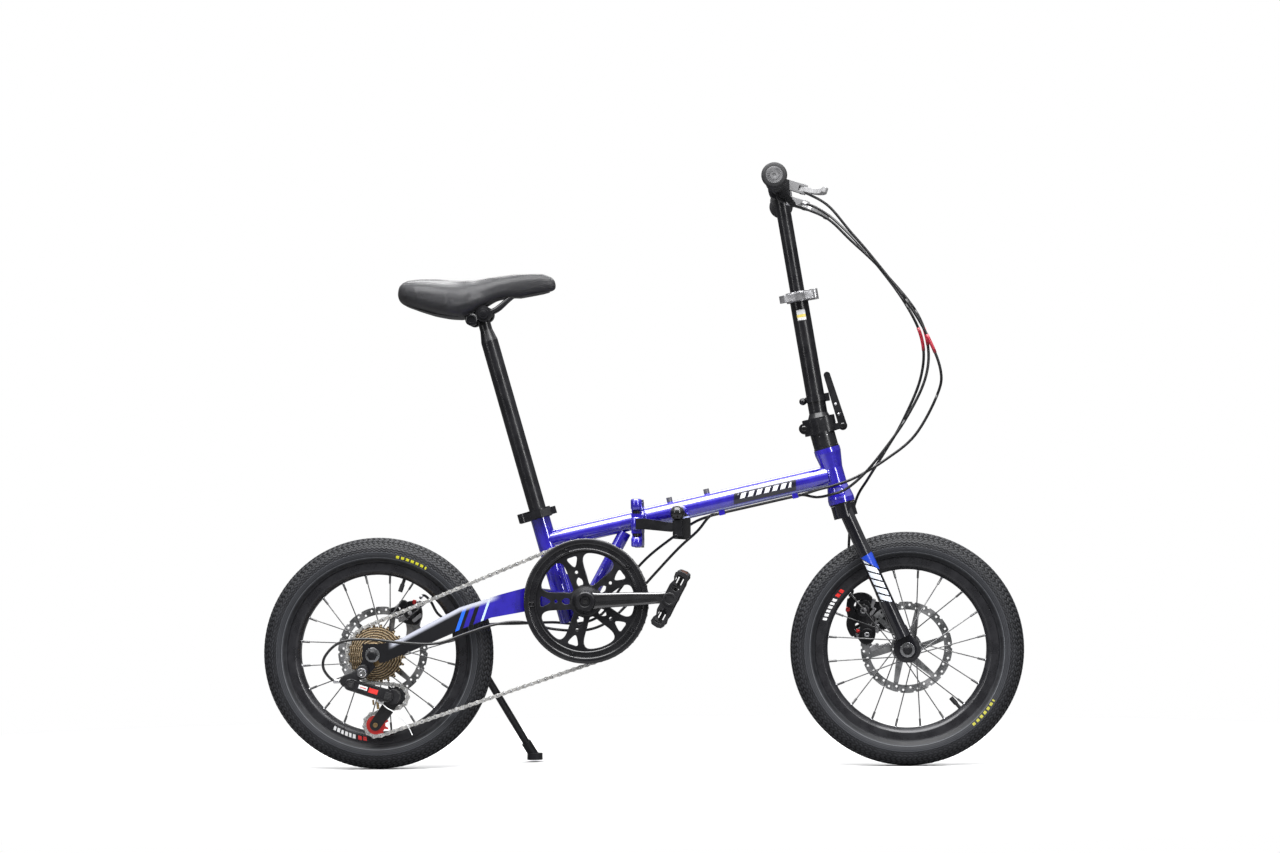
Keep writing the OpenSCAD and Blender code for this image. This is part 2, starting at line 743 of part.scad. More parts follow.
shift_path = [
  [264, -80, 974], [300, -62, 964], [338, -54, 946], [374, -50, 911], [425, -48, 861],
  [484, -48, 788], [505, -48, 727], [499, -49, 667], [464, -50, 598], [420, -51, 538],
  [389, -46, 503], [360, -37, 480], [334, -26, 471], [310, -4, 467],
  below_tube(285, hoop_hole_y, 22.4), below_tube(268, hoop_hole_y),
  below_tube(204, hoop_hole_y), below_tube(140, hoop_hole_y),
  below_tube(122, 6, 23), [100, 12, 410], [66, 20, 380], [20, 26, 332],
  [-24, 28, 284], [-62, 24, 252], [-110, 6, 238], [-160, -20, 243], [-205, -43, 256],
  [-250, -56, 253], [-300, -66, 238], [-350, -76, 222], [-410, -84, 224],
  [-470, -90, 231], [-515, -92, 226], [-541, -91, 204], [-546, -88, 182],
  [-534, -83, 163], [-521, -80.6, 158.4]
];
module front_brake_cable() color(black) cable(front_brake_path);
module rear_brake_cable() color(black) cable(rear_brake_path);
module shift_cable() color(black) cable(shift_path);

// ---------- wheels ----------
front_valve_turn = 139;   // angle of the valve from straight up
rear_valve_turn = 20;
rotor_t = 1.8;
// rim section and its hollow: radius, y
rim_profile = [
  [137.5, -8], [137.5, 8], [145, 15], [159, 15], [159, 12.6], [150, 12.6], [148, 9],
  [148, -9], [150, -12.6], [159, -12.6], [159, -15], [145, -15]
];
rim_hollow = [[139.5, -7], [139.5, 7], [143.5, 11], [146, 9], [146, -9], [143.5, -11]];

module rim(at, valve_turn) {
  difference() {
    spun(at) difference() {
      polygon(rim_profile);
      polygon(rim_hollow);
    }
    translate(at) rotate([0, valve_turn, 0]) zbar(100, 160, 4.3);
  }
}
module tyre(at) {
  spun(at) difference() {
    intersection() {
      union() {
        translate([178.2, 0]) ring(tyre_w / 2, tyre_w / 2 - 3.4);
        // beads
        for (y = [-12.5, 10.6]) translate([150.1, y]) square([11, 1.9]);
      }
      translate([147, -40]) square([55.5, 80]);
    }
    // room for the rim and between the beads
    translate([100, -15.1]) square([47, 30.2]);
    for (y = [-15.05, 12.55]) translate([140, y]) square([19.1, 2.5]);
    translate([140, -10.5]) square([19.5, 21]);
  }
}
module inner_tube(at, valve_turn) {
  spun(at) translate([179, 0]) ring(20, 18.8);
  translate(at) rotate([0, valve_turn, 0]) {
    zbar(118, 160, 3);
    zbar(114, 128, 4);
  }
}
// crossed spokes from the two flanges to the rim, with nipples
module spoke_set(at, left_y, right_y, flange_r) {
  for (i = [0:spokes - 1]) {
    left = i % 2 == 0;
    swing = (floor(i / 2) % 2) * 2 - 1;
    rim_angle = i * 360 / spokes + 9;
    hub_angle = rim_angle + swing * 42;
    hub_y = left ? left_y : right_y;
    rim_y = left ? 1.5 : -1.5;
    rod(at + polar(flange_r, hub_angle, hub_y), at + polar(136.9, rim_angle, rim_y), 1);
    // nipple, turned a little toward the spoke
    rod(at + polar(124, rim_angle, rim_y + (hub_y - rim_y) * 0.11)
        + 1.92 * (polar(1, hub_angle) - polar(1, rim_angle)),
      at + polar(136.8, rim_angle, rim_y), 1.9);
  }
}
module rotor(at, y) {
  radius = rotor_d / 2;
  slab(y, y + rotor_t, at) difference() {
    union() {
      difference() {
        circle(r = radius, $fn = 96);
        circle(r = radius - 14);
      }
      ring(27, 17.6);
      for (a = [0:60:300]) rotate(a)
        polygon([[20, -4], [28, -5], [68, 12], [68, 20], [20, 6]]);
    }
    // edge scallops, two rows of vents, bolt holes
    for (k = [0:17]) rotate(k * 20) translate([radius, 0]) circle(r = 2.6, $fn = 24);
    for (k = [0:35]) rotate(k * 10 + 5)
      translate([radius - (k % 2 == 0 ? 5.4 : 9.6), 0]) circle(r = 2, $fn = 24);
    for (a = [0:60:300]) rotate(a + 8) translate([22, 0]) circle(r = 2.6, $fn = 24);
  }
}

// hub sections: radius, y
front_hub_profile = [
  [axle_slot_r, -44.6], [9, -44.6], [11, -38], [23, -36.5], [23, -33.5], [13, -30],
  [11.5, -10], [12.5, 12], [14, 20], [23, 22], [23, 25.4], [21, 27], [20, 38.4],
  [17.5, 38.4], [17.5, 42], [10, 44.6], [axle_slot_r, 44.6]
];
rear_hub_profile = [
  [axle_slot_r, -26], [19, -26], [19, -24], [26, -22.5], [26, -19], [15, -15], [13, 4],
  [15, 21], [26, 26], [26, 29.5], [22, 32], [20, 48.4], [17.5, 48.4], [17.5, 51.5],
  [10, 53.5], [axle_slot_r, 53.5]
];

module front_axle() color(silver) {
  ybar(front_centre, -66, 66, axle_r);
  // nuts outside the fork, spacers inside
  for (s = [-1, 1]) {
    ybar(front_centre, s * 56.2, s * 63, 8.6, $fn = 6);
    ybar(front_centre, s * 45, s * 49.9, 8);
  }
}
module front_hub() color(dark) spun(front_centre) polygon(front_hub_profile);
module front_spokes() color(silver) spoke_set(front_centre, 19.5, -30.8, 20);
module front_rim() color(black) rim(front_centre, front_valve_turn);
module front_tyre() color(black) tyre(front_centre);
module front_tube() color(dark) inner_tube(front_centre, front_valve_turn);
module front_rotor() color(silver) rotor(front_centre, 38.6);

front_caliper_pivot = [388, 0, 268];
// body inside the fork tab, and plate outside it: x, z
front_caliper_body = [
  [356, 232], [362, 284], [378, 298], [402, 298], [412, 276], [408, 240], [384, 219],
  [364, 219]
];
front_caliper_plate = [[360, 290], [376, 304], [398, 292], [398, 262], [372, 262]];
module front_caliper() color(black) difference() {
  union() {
    slab(31, 46.8) polygon(front_caliper_body);
    ybar(front_caliper_pivot, 53.2, 60, 14);
    ybar(front_caliper_pivot, 24, 32, 11);
    for (bolt = front_caliper_bolts) ybar(bolt, 46.5, 58, 3);
    slab(53.2, 58) polygon(front_caliper_plate);
    // cable stop
    rod([366, 55.6, 291], [369, 55.6, 304], 4);
  }
  // slot for the rotor
  slab(37.4, 41.6) polygon([[382, 200], [382, 330], [500, 330], [500, 200]]);
}
module front_caliper_arm() color(silver) {
  ybar(front_caliper_pivot, 60.2, 65, 11);
  slab(60.2, 64) slot(xz(front_caliper_pivot), [362, 268], 9, 5);
}

module rear_axle() color(silver) {
  ybar(rear_centre, -82, 82, axle_r);
  for (s = [-1, 1]) ybar(rear_centre, s * 71.7, s * 79.2, 9.2, $fn = 6);
  // spacers, long on the left and short on the right
  ybar(rear_centre, 54, 64.9, 8);
  ybar(rear_centre, -64.9, -62.6, 8);
}
module rear_hub() color(dark) spun(rear_centre) polygon(rear_hub_profile);
module rear_spokes() color(silver) spoke_set(rear_centre, 22.6, -15.6, 22);
module rear_rim() color(black) rim(rear_centre, rear_valve_turn);
module rear_tyre() color(black) tyre(rear_centre);
module rear_tube() color(dark) inner_tube(rear_centre, rear_valve_turn);
module rear_rotor() color(silver) rotor(rear_centre, 48.7);

rear_caliper_pivot = [-411, 0, 271];
// body, and the mounting plate below it: x, z
rear_caliper_body = [
  [-432, 262], [-424, 288], [-404, 292], [-392, 276], [-396, 254], [-418, 250]
];
rear_caliper_plate = [[-424, 214], [-404, 224], [-396, 262], [-424, 262]];
module rear_caliper() color(black) difference() {
  union() {
    slab(40, 63.5) polygon(rear_caliper_body);
    slab(57.2, 64.8) polygon(rear_caliper_plate);
    ybar(rear_caliper_pivot, 63, 69, 13);
    ybar(rear_caliper_pivot, 33, 40.5, 11);
    // cable stop
    rod([-405, 65.4, 279], [-400, 65.4, 290], 3.2);
  }
  // slot for the rotor
  slab(47.4, 51.8)
    polygon([[-500, 180], [-500, 330], [-399.6, 330], [-399.6, 180]]);
  translate([-470, 51.6, 200]) cube([36, 20, 100]);
}
module rear_caliper_arm() color(silver) {
  ybar(rear_caliper_pivot, 69.2, 74, 10.5);
  slab(69.2, 73) slot(xz(rear_caliper_pivot), [-432, 284], 8, 5);
}

// ---------- sprockets ----------
chain_pitch = 12.7;
cogs = [25, 23, 21, 19, 17, 15, 13];   // teeth, inner sprocket first
cog_spacing = 4.8;
cog_y = -31.2;     // plane of the largest sprocket
ring_y = -47;      // plane of the chainring
pulley_teeth = 10;
upper_pulley = [-428, cog_y, 128];
lower_pulley = [-463.5, cog_y, 79];
function pitch_r(count) = chain_pitch / (2 * sin(180 / count));

module freewheel() color(bronze) difference() {
  union() {
    for (i = [0:len(cogs) - 1]) {
      y = cog_y - cog_spacing * i;
      slab(y - 1, y + 1, rear_centre) sprocket(cogs[i]);
    }
    ybar(rear_centre, -61.8, -27, 20);
  }
  ybar(rear_centre, -70, -20, 8.4);
  // windows in the largest sprockets
  around(rear_centre, 6) ybar([32, 0, 0], -38, -29, 6);
}

// ---------- cranks ----------
crank_rise = 2;   // angle of the right crank above level
right_pedal_centre = crank_centre + polar(crank_len, crank_rise);
left_pedal_centre = crank_centre - polar(crank_len, crank_rise);
guard_r = 108.5;
// one of the two side branches of a spider arm: along the arm, across it
spider_branch = [[50, 0], [60, 4], [84, 26], [80, 34], [74, 30], [52, 8]];

module crank_arm(pedal_centre) {
  slot(xz(crank_centre), xz(pedal_centre), 16, 11.5);
}
module spider() {
  difference() {
    union() {
      circle(r = 30);
      ring(92, 79);
      for (a = [0:72:288]) rotate(a + 18) {
        polygon([[20, -12], [86, -7], [86, 7], [20, 12]]);
        for (s = [-1, 1]) polygon(mirrored(spider_branch, s));
      }
    }
    for (a = [0:72:288]) rotate(a + 18) {
      translate([44, 0]) circle(r = 4.5);
      translate([64, 0]) circle(r = 3.2);
    }
  }
}
module crank_right() color(black) difference() {
  union() {
    // axle and boss
    ybar(crank_centre, -78, 58, 8.4);
    ybar(crank_centre, -76, -51, 19);
    slab(-74.5, -62) crank_arm(right_pedal_centre);
    slab(-58, -52.4, crank_centre) spider();
  }
  ybar(right_pedal_centre, -90, -50, 6.1);
  ybar(crank_centre, -79, -70, 5);
}
module chainring() color(dark) {
  slab(ring_y - 0.8, ring_y + 0.8, crank_centre) difference() {
    sprocket(ring_teeth);
    circle(r = 82);
  }
  // guard ring outside the chain with its rim, held by five stand-offs
  slab(-61.4, -58.1, crank_centre) difference() {
    circle(r = guard_r, $fn = 120);
    circle(r = 87);
  }
  slab(-61.4, -52, crank_centre) ring(guard_r, guard_r - 3, $fn = 120);
  around(crank_centre, 5, -50) ybar([96, 0, 0], -63, -47.5, 3.6);
}
module crank_left() color(black) difference() {
  union() {
    ybar(crank_centre, 58.2, 80, 17);
    slab(64, 76.5) crank_arm(left_pedal_centre);
  }
  ybar(left_pedal_centre, 50, 90, 6.1);
  ybar(crank_centre, 74, 82, 8);
}
// pedal with its long side tipped up in front by an angle
module pedal(at, hand, tip) {
  difference() {
    translate([at[0], 0, at[2]]) rotate([0, -tip, 0]) union() {
      // end plates
      for (y = [[92, 99], [176, 186]])
        slab(hand * y[0], hand * y[1]) slot([-40, 0], [40, 0], 12, 12);
      // cross bars: outer pair, inner pair
      for (x = [-46, 46])
        slab(hand * 92, hand * 186) translate([x - 5, -10]) square([10, 20]);
      for (x = [-24, 24])
        slab(hand * 98, hand * 180) translate([x - 2, -8]) square([4, 16]);
      // barrel, end cap and middle web
      slab(hand * 92, hand * 186) circle(r = 11.5);
      slab(hand * 184, hand * 189) circle(r = 12, $fn = 8);
      slab(hand * 98, hand * 180) square([88, 5], center = true);
    }
    ybar(at, hand * 70, hand * 182, 6.2);
  }
}
module pedal_right() color(black) pedal(right_pedal_centre, -1, 62);
module pedal_left() color(black) pedal(left_pedal_centre, 1, 14);

// ---------- chain ----------
// It runs over the chainring, largest sprocket, upper pulley and lower pulley.
// The upper pulley turns the other way, so its radius is negative.
wheel_at = [xz(crank_centre), xz(rear_centre), xz(upper_pulley), xz(lower_pulley)];
wheel_r = [
  pitch_r(ring_teeth), pitch_r(cogs[0]), -pitch_r(pulley_teeth), pitch_r(pulley_teeth)
];
link_half = 3.6;   // half the height of the bent side plates

// angle at which the chain leaves wheel i for wheel j
function tangent_angle(i, j) = let (gap = wheel_at[j] - wheel_at[i])
  atan2(gap[1], gap[0]) - asin((wheel_r[j] - wheel_r[i]) / norm(gap));
function wheel_point(i, angle, offset = 0) =
  wheel_at[i] + (wheel_r[i] + offset) * [sin(angle), -cos(angle)];
// an angle moved by whole turns: not below a limit, or not above it
function raised(angle, limit) = angle < limit ? raised(angle + 360, limit) : angle;
function lowered(angle, limit) = limit - (limit + 3600 - angle) % 360;

leave_ring = raised(tangent_angle(0, 1), 0);
leave_cog = raised(tangent_angle(1, 2), leave_ring);
leave_upper = lowered(tangent_angle(2, 3), leave_cog);
leave_lower = raised(tangent_angle(3, 0), leave_upper);
meet_ring = leave_lower - 360;

function arc(i, from, to, offset) = let (steps = max(3, ceil(abs(to - from) / 7)))
  [for (m = [0:steps]) wheel_point(i, from + (to - from) * m / steps, offset)];
function ring_arc(offset) = arc(0, meet_ring, leave_ring, offset);
function rear_arcs(offset) = concat(
  arc(1, leave_ring, leave_cog, offset),
  arc(2, leave_cog, leave_upper, offset),
  arc(3, leave_upper, leave_lower, offset));

// side plates bent round wheels that lie in one plane
module bent_plates(y, outer, inner) {
  for (s = [-1, 1])
    slab(y + s * 2, y + s * 3.3) polygon(concat(outer, reversed(inner)));
}
// straight run from wheel i to wheel j with its rollers
module straight_run(i, j, angle, start_y, end_y) {
  start = wheel_point(i, angle);
  end = wheel_point(j, angle);
  run = [end[0] - start[0], end_y - start_y, end[1] - start[1]];
  length = norm(run);
  rollers = floor((length - 66) / chain_pitch);
  first_x = (length - rollers * chain_pitch) / 2;
  translate([start[0], start_y, start[1]])
    rotate([0, -atan2(run[2], norm([run[0], run[1]])), atan2(run[1], run[0])]) {
      for (y = [-3.15, 2.1]) translate([-3, y, -3.4]) cube([length + 6, 1.05, 6.8]);
      for (k = [0:rollers])
        ybar([first_x + k * chain_pitch, 0, 0], -2.7, 2.7, 2.4, $fn = 16);
    }
}
module chain() color(silver) {
  bent_plates(ring_y, ring_arc(link_half), ring_arc(-link_half));
  bent_plates(cog_y, rear_arcs(link_half), rear_arcs(-link_half));
  straight_run(0, 1, leave_ring, ring_y, cog_y);
  straight_run(3, 0, leave_lower, cog_y, ring_y);
}

// ---------- derailleur ----------
hanger_pivot = [-500, -80, 152];   // link pivot near the hanger
cage_pivot = [-444, -58, 132];     // link pivot near the cage
link_run = cage_pivot - hanger_pivot;
link_tilt = atan2(-link_run[2], link_run[0]);

module link_frame(at) { translate(at) rotate([0, link_tilt, 0]) children(); }

module derailleur() color(black) difference() {
  union() {
    slab(-87.2, -72.6) slot(xz(hanger_bolt), [-508, 158], 11, 9);
    link_frame(hanger_pivot - [3, 0, 0]) zbar(-14, 14, 8);
    // hanger bolt with its head
    ybar(hanger_bolt, -92, -80, 7);
    ybar(hanger_bolt, -84, -64, 4.9);
    // cable stop
    translate([-519, -80, 158]) rotate([0, 90, 0]) cylinder(h = 14, r = 4);
  }
  link_frame(hanger_pivot) translate([-7, -14, -10.2]) cube([40, 28, 20.4]);
}
module derailleur_link() color(dark) link_frame(hanger_pivot) {
  for (z = [-10, 7]) translate([0, 0, z]) linear_extrude(3)
    slot([0, 0], [norm(xz(link_run)), link_run[1]], 6, 6);
  zbar(-10, 10, 5, [-1, 0]);
}
module derailleur_knuckle() color(black) {
  link_frame(cage_pivot) zbar(-6.8, 6.8, 5.9);
  difference() {
    slab(-66, -46)
      slot(xz(cage_pivot) + [4, -1], xz(upper_pulley) + [-2, 1], 8, 13);
    // room for the link plates
    link_frame(cage_pivot) {
      for (z = [-26.9, 6.9]) translate([-40, -30, z]) cube([47, 60, 20]);
      translate([-40, -30, -20]) cube([33, 60, 40]);
    }
  }
  ybar(upper_pulley, -46.2, -41, 5);
}
module derailleur_cage() color(black) {
  for (y = [[-40.6, -38.6], [-23.6, -21.8]])
    slab(y[0], y[1]) slot(xz(upper_pulley), xz(lower_pulley), 12, 10);
  for (pulley = [upper_pulley, lower_pulley]) ybar(pulley, -39, -22, 2.8);
  ybar((upper_pulley + lower_pulley) / 2 + [6, 0, 8], -39, -35.6, 3);
}
module jockey(at) {
  difference() {
    union() {
      slab(cog_y - 1, cog_y + 1, at) teeth(pulley_teeth, 1.8, 4.6);
      ybar(at, cog_y - 3.4, cog_y + 3.4, 14);
    }
    ybar(at, -60, -10, 2.9);
    around([at[0], 0, at[2]], 5) ybar([9.4, 0, 0], cog_y - 5, cog_y + 5, 2.4);
  }
}
module jockey_upper() color(dark) jockey(upper_pulley);
module jockey_lower() color(red) jockey(lower_pulley);

// ---------- kickstand ----------
module kickstand() color(black) difference() {
  union() {
    ybar(kick_pivot, 66.2, 84, 11);
    // leg, sleeve and foot
    rod(kick_pivot + [0, 2, 0], [-212, 126, 26], 6.5);
    rod([-217, 123.5, 34.8], [-203, 130.4, 10.4], 9);
    zbar(3, 15, 14, [-202, 131]);
  }
  ybar(kick_pivot, 60, 90, 5.1);
}

rear_frame();
bb_cartridge();
frame_hinge_pin();
seat_collar();
seat_collar_lever();
seatpost();
saddle_pad();
saddle_base();
saddle_clamp();
front_frame();
headset();
frame_latch();
fork();
post_base();
handlepost();
post_latch();
post_collar();
post_collar_lever();
inner_post();
handlebar();
grips();
bar_controls();
brake_lever_left();
brake_lever_right();
shift_lever();
front_brake_cable();
rear_brake_cable();
shift_cable();
front_axle();
front_hub();
front_spokes();
front_rim();
front_tyre();
front_tube();
front_rotor();
front_caliper();
front_caliper_arm();
rear_axle();
rear_hub();
rear_spokes();
rear_rim();
rear_tyre();
rear_tube();
rear_rotor();
rear_caliper();
rear_caliper_arm();
freewheel();
crank_right();
chainring();
crank_left();
pedal_right();
pedal_left();
chain();
derailleur();
derailleur_link();
derailleur_knuckle();
derailleur_cage();
jockey_upper();
jockey_lower();
kickstand();
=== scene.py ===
"""Folding bicycle: detailed meshes and procedural materials over its CAD pieces.

x runs forward, y to the rider's left and z up; the ground is z = 0 and the middle plane
is y = 0. Sizes are in millimetres and are turned to metres when a mesh is made.
"""
import bpy
import bmesh
import json
import math
import numpy as np
from mathutils import Vector, Matrix

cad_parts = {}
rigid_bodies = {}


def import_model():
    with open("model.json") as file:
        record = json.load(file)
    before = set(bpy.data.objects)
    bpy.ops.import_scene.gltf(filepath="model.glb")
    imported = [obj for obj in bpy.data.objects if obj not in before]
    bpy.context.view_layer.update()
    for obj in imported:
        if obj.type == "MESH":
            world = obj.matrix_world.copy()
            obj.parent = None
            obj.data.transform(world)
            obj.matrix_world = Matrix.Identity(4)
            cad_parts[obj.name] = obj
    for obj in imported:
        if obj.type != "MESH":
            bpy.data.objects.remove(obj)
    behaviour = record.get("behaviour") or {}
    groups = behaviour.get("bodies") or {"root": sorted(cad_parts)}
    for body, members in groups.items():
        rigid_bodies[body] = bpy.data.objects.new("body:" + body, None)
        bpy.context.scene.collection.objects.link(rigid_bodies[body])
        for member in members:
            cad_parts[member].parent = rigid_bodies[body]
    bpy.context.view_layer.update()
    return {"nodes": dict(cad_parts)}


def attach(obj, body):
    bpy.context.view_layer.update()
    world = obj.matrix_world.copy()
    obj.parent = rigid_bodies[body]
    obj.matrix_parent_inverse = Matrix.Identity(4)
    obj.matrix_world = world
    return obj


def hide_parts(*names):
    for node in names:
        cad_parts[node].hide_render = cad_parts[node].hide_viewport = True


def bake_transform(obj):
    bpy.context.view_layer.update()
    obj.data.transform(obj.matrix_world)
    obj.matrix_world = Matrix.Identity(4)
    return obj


for leftover in list(bpy.data.objects):
    bpy.data.objects.remove(leftover)
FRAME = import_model()
MM = 0.001
rad = math.radians

# ---------------------------------------------------------------- driving places, mm
AXLE_X, AXLE_Z = 462.5, 202.5
REAR_AXLE = np.array([-AXLE_X, 0, AXLE_Z])
FRONT_AXLE = np.array([AXLE_X, 0, AXLE_Z])
CRANK_AXLE = np.array([-91.0, 0, 292])
CRANK_XZ = (CRANK_AXLE[0], CRANK_AXLE[2])
PEDAL_RIGHT = np.array([60.9, 297.3])          # x, z of the pedal spindles
PEDAL_LEFT = np.array([-242.9, 286.7])
HEAD_BASE, HEAD_LEAN = np.array([353.5, 0, 457]), 15.0
POST_BASE, POST_LEAN, HINGE_LEAN = np.array([317.8, 0, 592]), 9.0, 12.0
BAR = np.array([251.2, 0, 1004.6])
CHAINRING_Y, COG_Y = -47.0, -31.2
TUBE_SLOPE, TUBE_Z = 12.2, 432                 # main tube: degrees, and height at x = 0
TYRE_R, SECTION_R = 178.2, 24.9                # centre of the tyre's round section, its radius
PITCH = 12.7                                   # chain
LEFT, RIGHT, UP, BACK = (0, 1, 0), (0, -1, 0), (0, 0, 1), (-1, 0, 0)


def tube_z(x):
    """Height of the main tube's axis."""
    return TUBE_Z + x * math.tan(rad(TUBE_SLOPE))


def lean(base, angle, p):
    """Point p of a part that stands on base and leans back by angle."""
    c, s = math.cos(rad(angle)), math.sin(rad(angle))
    return np.array([base[0] + p[0] * c - p[2] * s, base[1] + p[1],
                     base[2] + p[0] * s + p[2] * c])


# ---------------------------------------------------------------- shader arithmetic
class Value:
    """A number in a shader, with arithmetic."""

    def __init__(self, tree, socket):
        self.tree, self.socket = tree, socket

    def op(self, kind, *others):
        node = self.tree.nodes.new("ShaderNodeMath")
        node.operation = kind
        for i, v in enumerate((self,) + others):
            if isinstance(v, Value):
                self.tree.links.new(v.socket, node.inputs[i])
            else:
                node.inputs[i].default_value = v
        return Value(self.tree, node.outputs[0])

    def __add__(self, other): return self.op("ADD", other)
    def __sub__(self, other): return self.op("SUBTRACT", other)
    def __mul__(self, other): return self.op("MULTIPLY", other)
    def __gt__(self, other): return self.op("GREATER_THAN", other)
    def __lt__(self, other): return self.op("LESS_THAN", other)
    def abs(self): return self.op("ABSOLUTE")
    def frac(self): return self.op("FRACT")

    def soft(self, start, end):
        """Smooth step from 0 at start to 1 at end."""
        node = self.tree.nodes.new("ShaderNodeMapRange")
        node.interpolation_type = "SMOOTHSTEP"
        self.tree.links.new(self.socket, node.inputs["Value"])
        node.inputs["From Min"].default_value = start
        node.inputs["From Max"].default_value = end
        return Value(self.tree, node.outputs["Result"])


def object_xyz(tree):
    """Object coordinates in mm."""
    coords = tree.nodes.new("ShaderNodeTexCoord")
    split = tree.nodes.new("ShaderNodeSeparateXYZ")
    tree.links.new(coords.outputs["Object"], split.inputs[0])
    return [Value(tree, split.outputs[i]) * 1000 for i in range(3)]


def noise(tree, scale, detail, stretch=None):
    source = tree.nodes.new("ShaderNodeTexCoord").outputs["Object"]
    node = tree.nodes.new("ShaderNodeTexNoise")
    if stretch:
        mapping = tree.nodes.new("ShaderNodeMapping")
        mapping.inputs["Scale"].default_value = stretch
        tree.links.new(source, mapping.inputs[0])
        source = mapping.outputs[0]
    tree.links.new(source, node.inputs["Vector"])
    node.inputs["Scale"].default_value = scale
    node.inputs["Detail"].default_value = detail
    node.inputs["Roughness"].default_value = 0.55
    return Value(tree, node.outputs[0])


def mix_colour(tree, factor, first, second):
    """Mix two colours, each an RGB tuple or a socket."""
    node = tree.nodes.new("ShaderNodeMix")
    node.data_type = "RGBA"
    tree.links.new(factor.socket, node.inputs[0])
    for i, colour in ((6, first), (7, second)):
        if isinstance(colour, tuple):
            node.inputs[i].default_value = (*colour, 1)
        else:
            tree.links.new(colour, node.inputs[i])
    return node.outputs[2]


MATERIALS = {}


def surface(name, colour, rough, metal=0.0, coat=0.0, second=None, broad=45, fine=900,
            bump=0.05, spread=0.12, edge=0.0006, stretch=None, decals=None, spec=None,
            grain=None, depth=0.0004):
    """A material mottled from colour to second by a broad noise, with a fine bump.

    broad and fine are noise scales, spread is how far roughness varies, edge and depth are
    the rounded-edge radius and bump distance in metres. decals(x, y, z) lists masks with
    their colour and roughness, prints and also painted shade and highlights; grain(tree,
    broad, fine) replaces the fine noise as height.
    """
    material = bpy.data.materials.new(name)
    material.use_nodes = True
    tree = material.node_tree
    shader = tree.nodes["Principled BSDF"]
    inputs, link = shader.inputs, tree.links.new
    second = second or tuple(min(1, c * 1.3 + 0.002) for c in colour)
    broad_noise = noise(tree, broad, 4)
    fine_noise = noise(tree, fine, 2, stretch)
    base = mix_colour(tree, broad_noise.soft(0.35, 0.7), colour, second)
    roughness = (broad_noise.soft(0.3, 0.75) * spread + (rough - spread / 2)
                 + (fine_noise - 0.5) * (spread * 0.6))
    metallic = coating = None
    if decals:
        for mask, decal_colour, decal_rough in decals(*object_xyz(tree)):
            base = mix_colour(tree, mask, base, decal_colour)
            roughness = roughness + (mask * 0 + decal_rough - roughness) * mask
            if coat >= 1:
                coating = (coating or mask * 0 + 1.0) * (mask * -0.65 + 1)
            if metal:
                metallic = (metallic or mask * 0 + metal) * (mask * -1 + 1)
    link(base, inputs["Base Color"])
    link(roughness.socket, inputs["Roughness"])
    inputs["Metallic"].default_value = metal
    if metallic:
        link(metallic.socket, inputs["Metallic"])
    inputs["Coat Weight"].default_value = coat
    if coating:
        link(coating.socket, inputs["Coat Weight"])
    inputs["Coat Roughness"].default_value = 0.06
    if coat >= 1:
        inputs["Coat IOR"].default_value = 2.1
    if spec is not None:
        inputs["Specular IOR Level"].default_value = spec
    relief = tree.nodes.new("ShaderNodeBump")
    relief.inputs["Strength"].default_value = bump
    relief.inputs["Distance"].default_value = depth
    height = grain(tree, broad_noise, fine_noise) if grain else fine_noise
    link(height.socket, relief.inputs["Height"])
    if edge:
        bevel = tree.nodes.new("ShaderNodeBevel")
        bevel.samples = 4
        bevel.inputs["Radius"].default_value = edge
        link(bevel.outputs[0], relief.inputs["Normal"])
    link(relief.outputs[0], inputs["Normal"])
    MATERIALS[name] = material


# Decals, and some painted shade and highlights: each mask is 1 inside limits given in mm;
# rows are mask, colour, roughness.
def front_decals_and_reflection(x, y, z):
    above = z - (x * math.tan(rad(TUBE_SLOPE)) + TUBE_Z)      # above the tube's axis
    side = y.abs() > 6
    band = ((x.soft(164, 167) * x.soft(276, 273))
            * (above.soft(-12.5, -11.5) * above.soft(8.5, 7.5)) * side)
    slant = (x - z * 0.35) * (1 / 13.0)
    marks = (slant.frac() < 0.62) * (above.abs() < 4.6) * (x > 173) * (x < 266) * side
    # painted reflection: a thin light-blue line along the lower flank of the tube on both sides
    line = (x > 20) * (x < 330) * (above + 15.0).abs().soft(1.6, 1.2) * side
    catch = (x > 44) * (x < 112) * (y < -20) * (z < 442) * (z > 388)
    stud = (above > 18.4) * (x > 30) * (x < 140) * (y.abs() < 7)
    return [(stud, (0.10, 0.10, 0.11), 0.3), (catch, (0.006, 0.006, 0.007), 0.35),
            (line, (0.45, 0.5, 0.85), 0.3), (band, (0.008, 0.008, 0.02), 0.3),
            (marks, (0.85, 0.86, 0.9), 0.3)]


def rear_decals_and_highlight(x, y, z):
    arms = (y.abs() > 20) * (z < 345)
    tail = arms * (x - z * 0.35 < -392)
    slant = x - z * 0.35
    black = arms * (slant < -377) * 1.0 if False else arms * (slant > -384) * (slant < -377)
    pale = arms * (slant > -366) * (slant < -362)
    blue = arms * (slant > -404) * (slant < -398)
    # the upper edge of the arms is the lowest of three lines
    edge = ((x + 200) * 0.256 + 315).op("MINIMUM", (x + 243) * 0.309 + 304)
    edge = edge.op("MINIMUM", (x + 311) * 0.512 + 283)
    # painted highlight: a pale band just under the upper edge of the arms stands in for the
    # light reflected off the paint there
    top = ((z - edge).soft(-10.5, -3.0) * (y.abs() > 26)
           * (x.soft(-238, -262) * x.soft(-436, -424)) * (z < 345))
    return [(tail, (0.004, 0.004, 0.006), 0.3), (blue, (0.02, 0.14, 0.8), 0.25),
            (black, (0.004, 0.004, 0.006), 0.25), (pale, (0.55, 0.7, 0.95), 0.25),
            (top, (0.55, 0.57, 0.66), 0.25)]


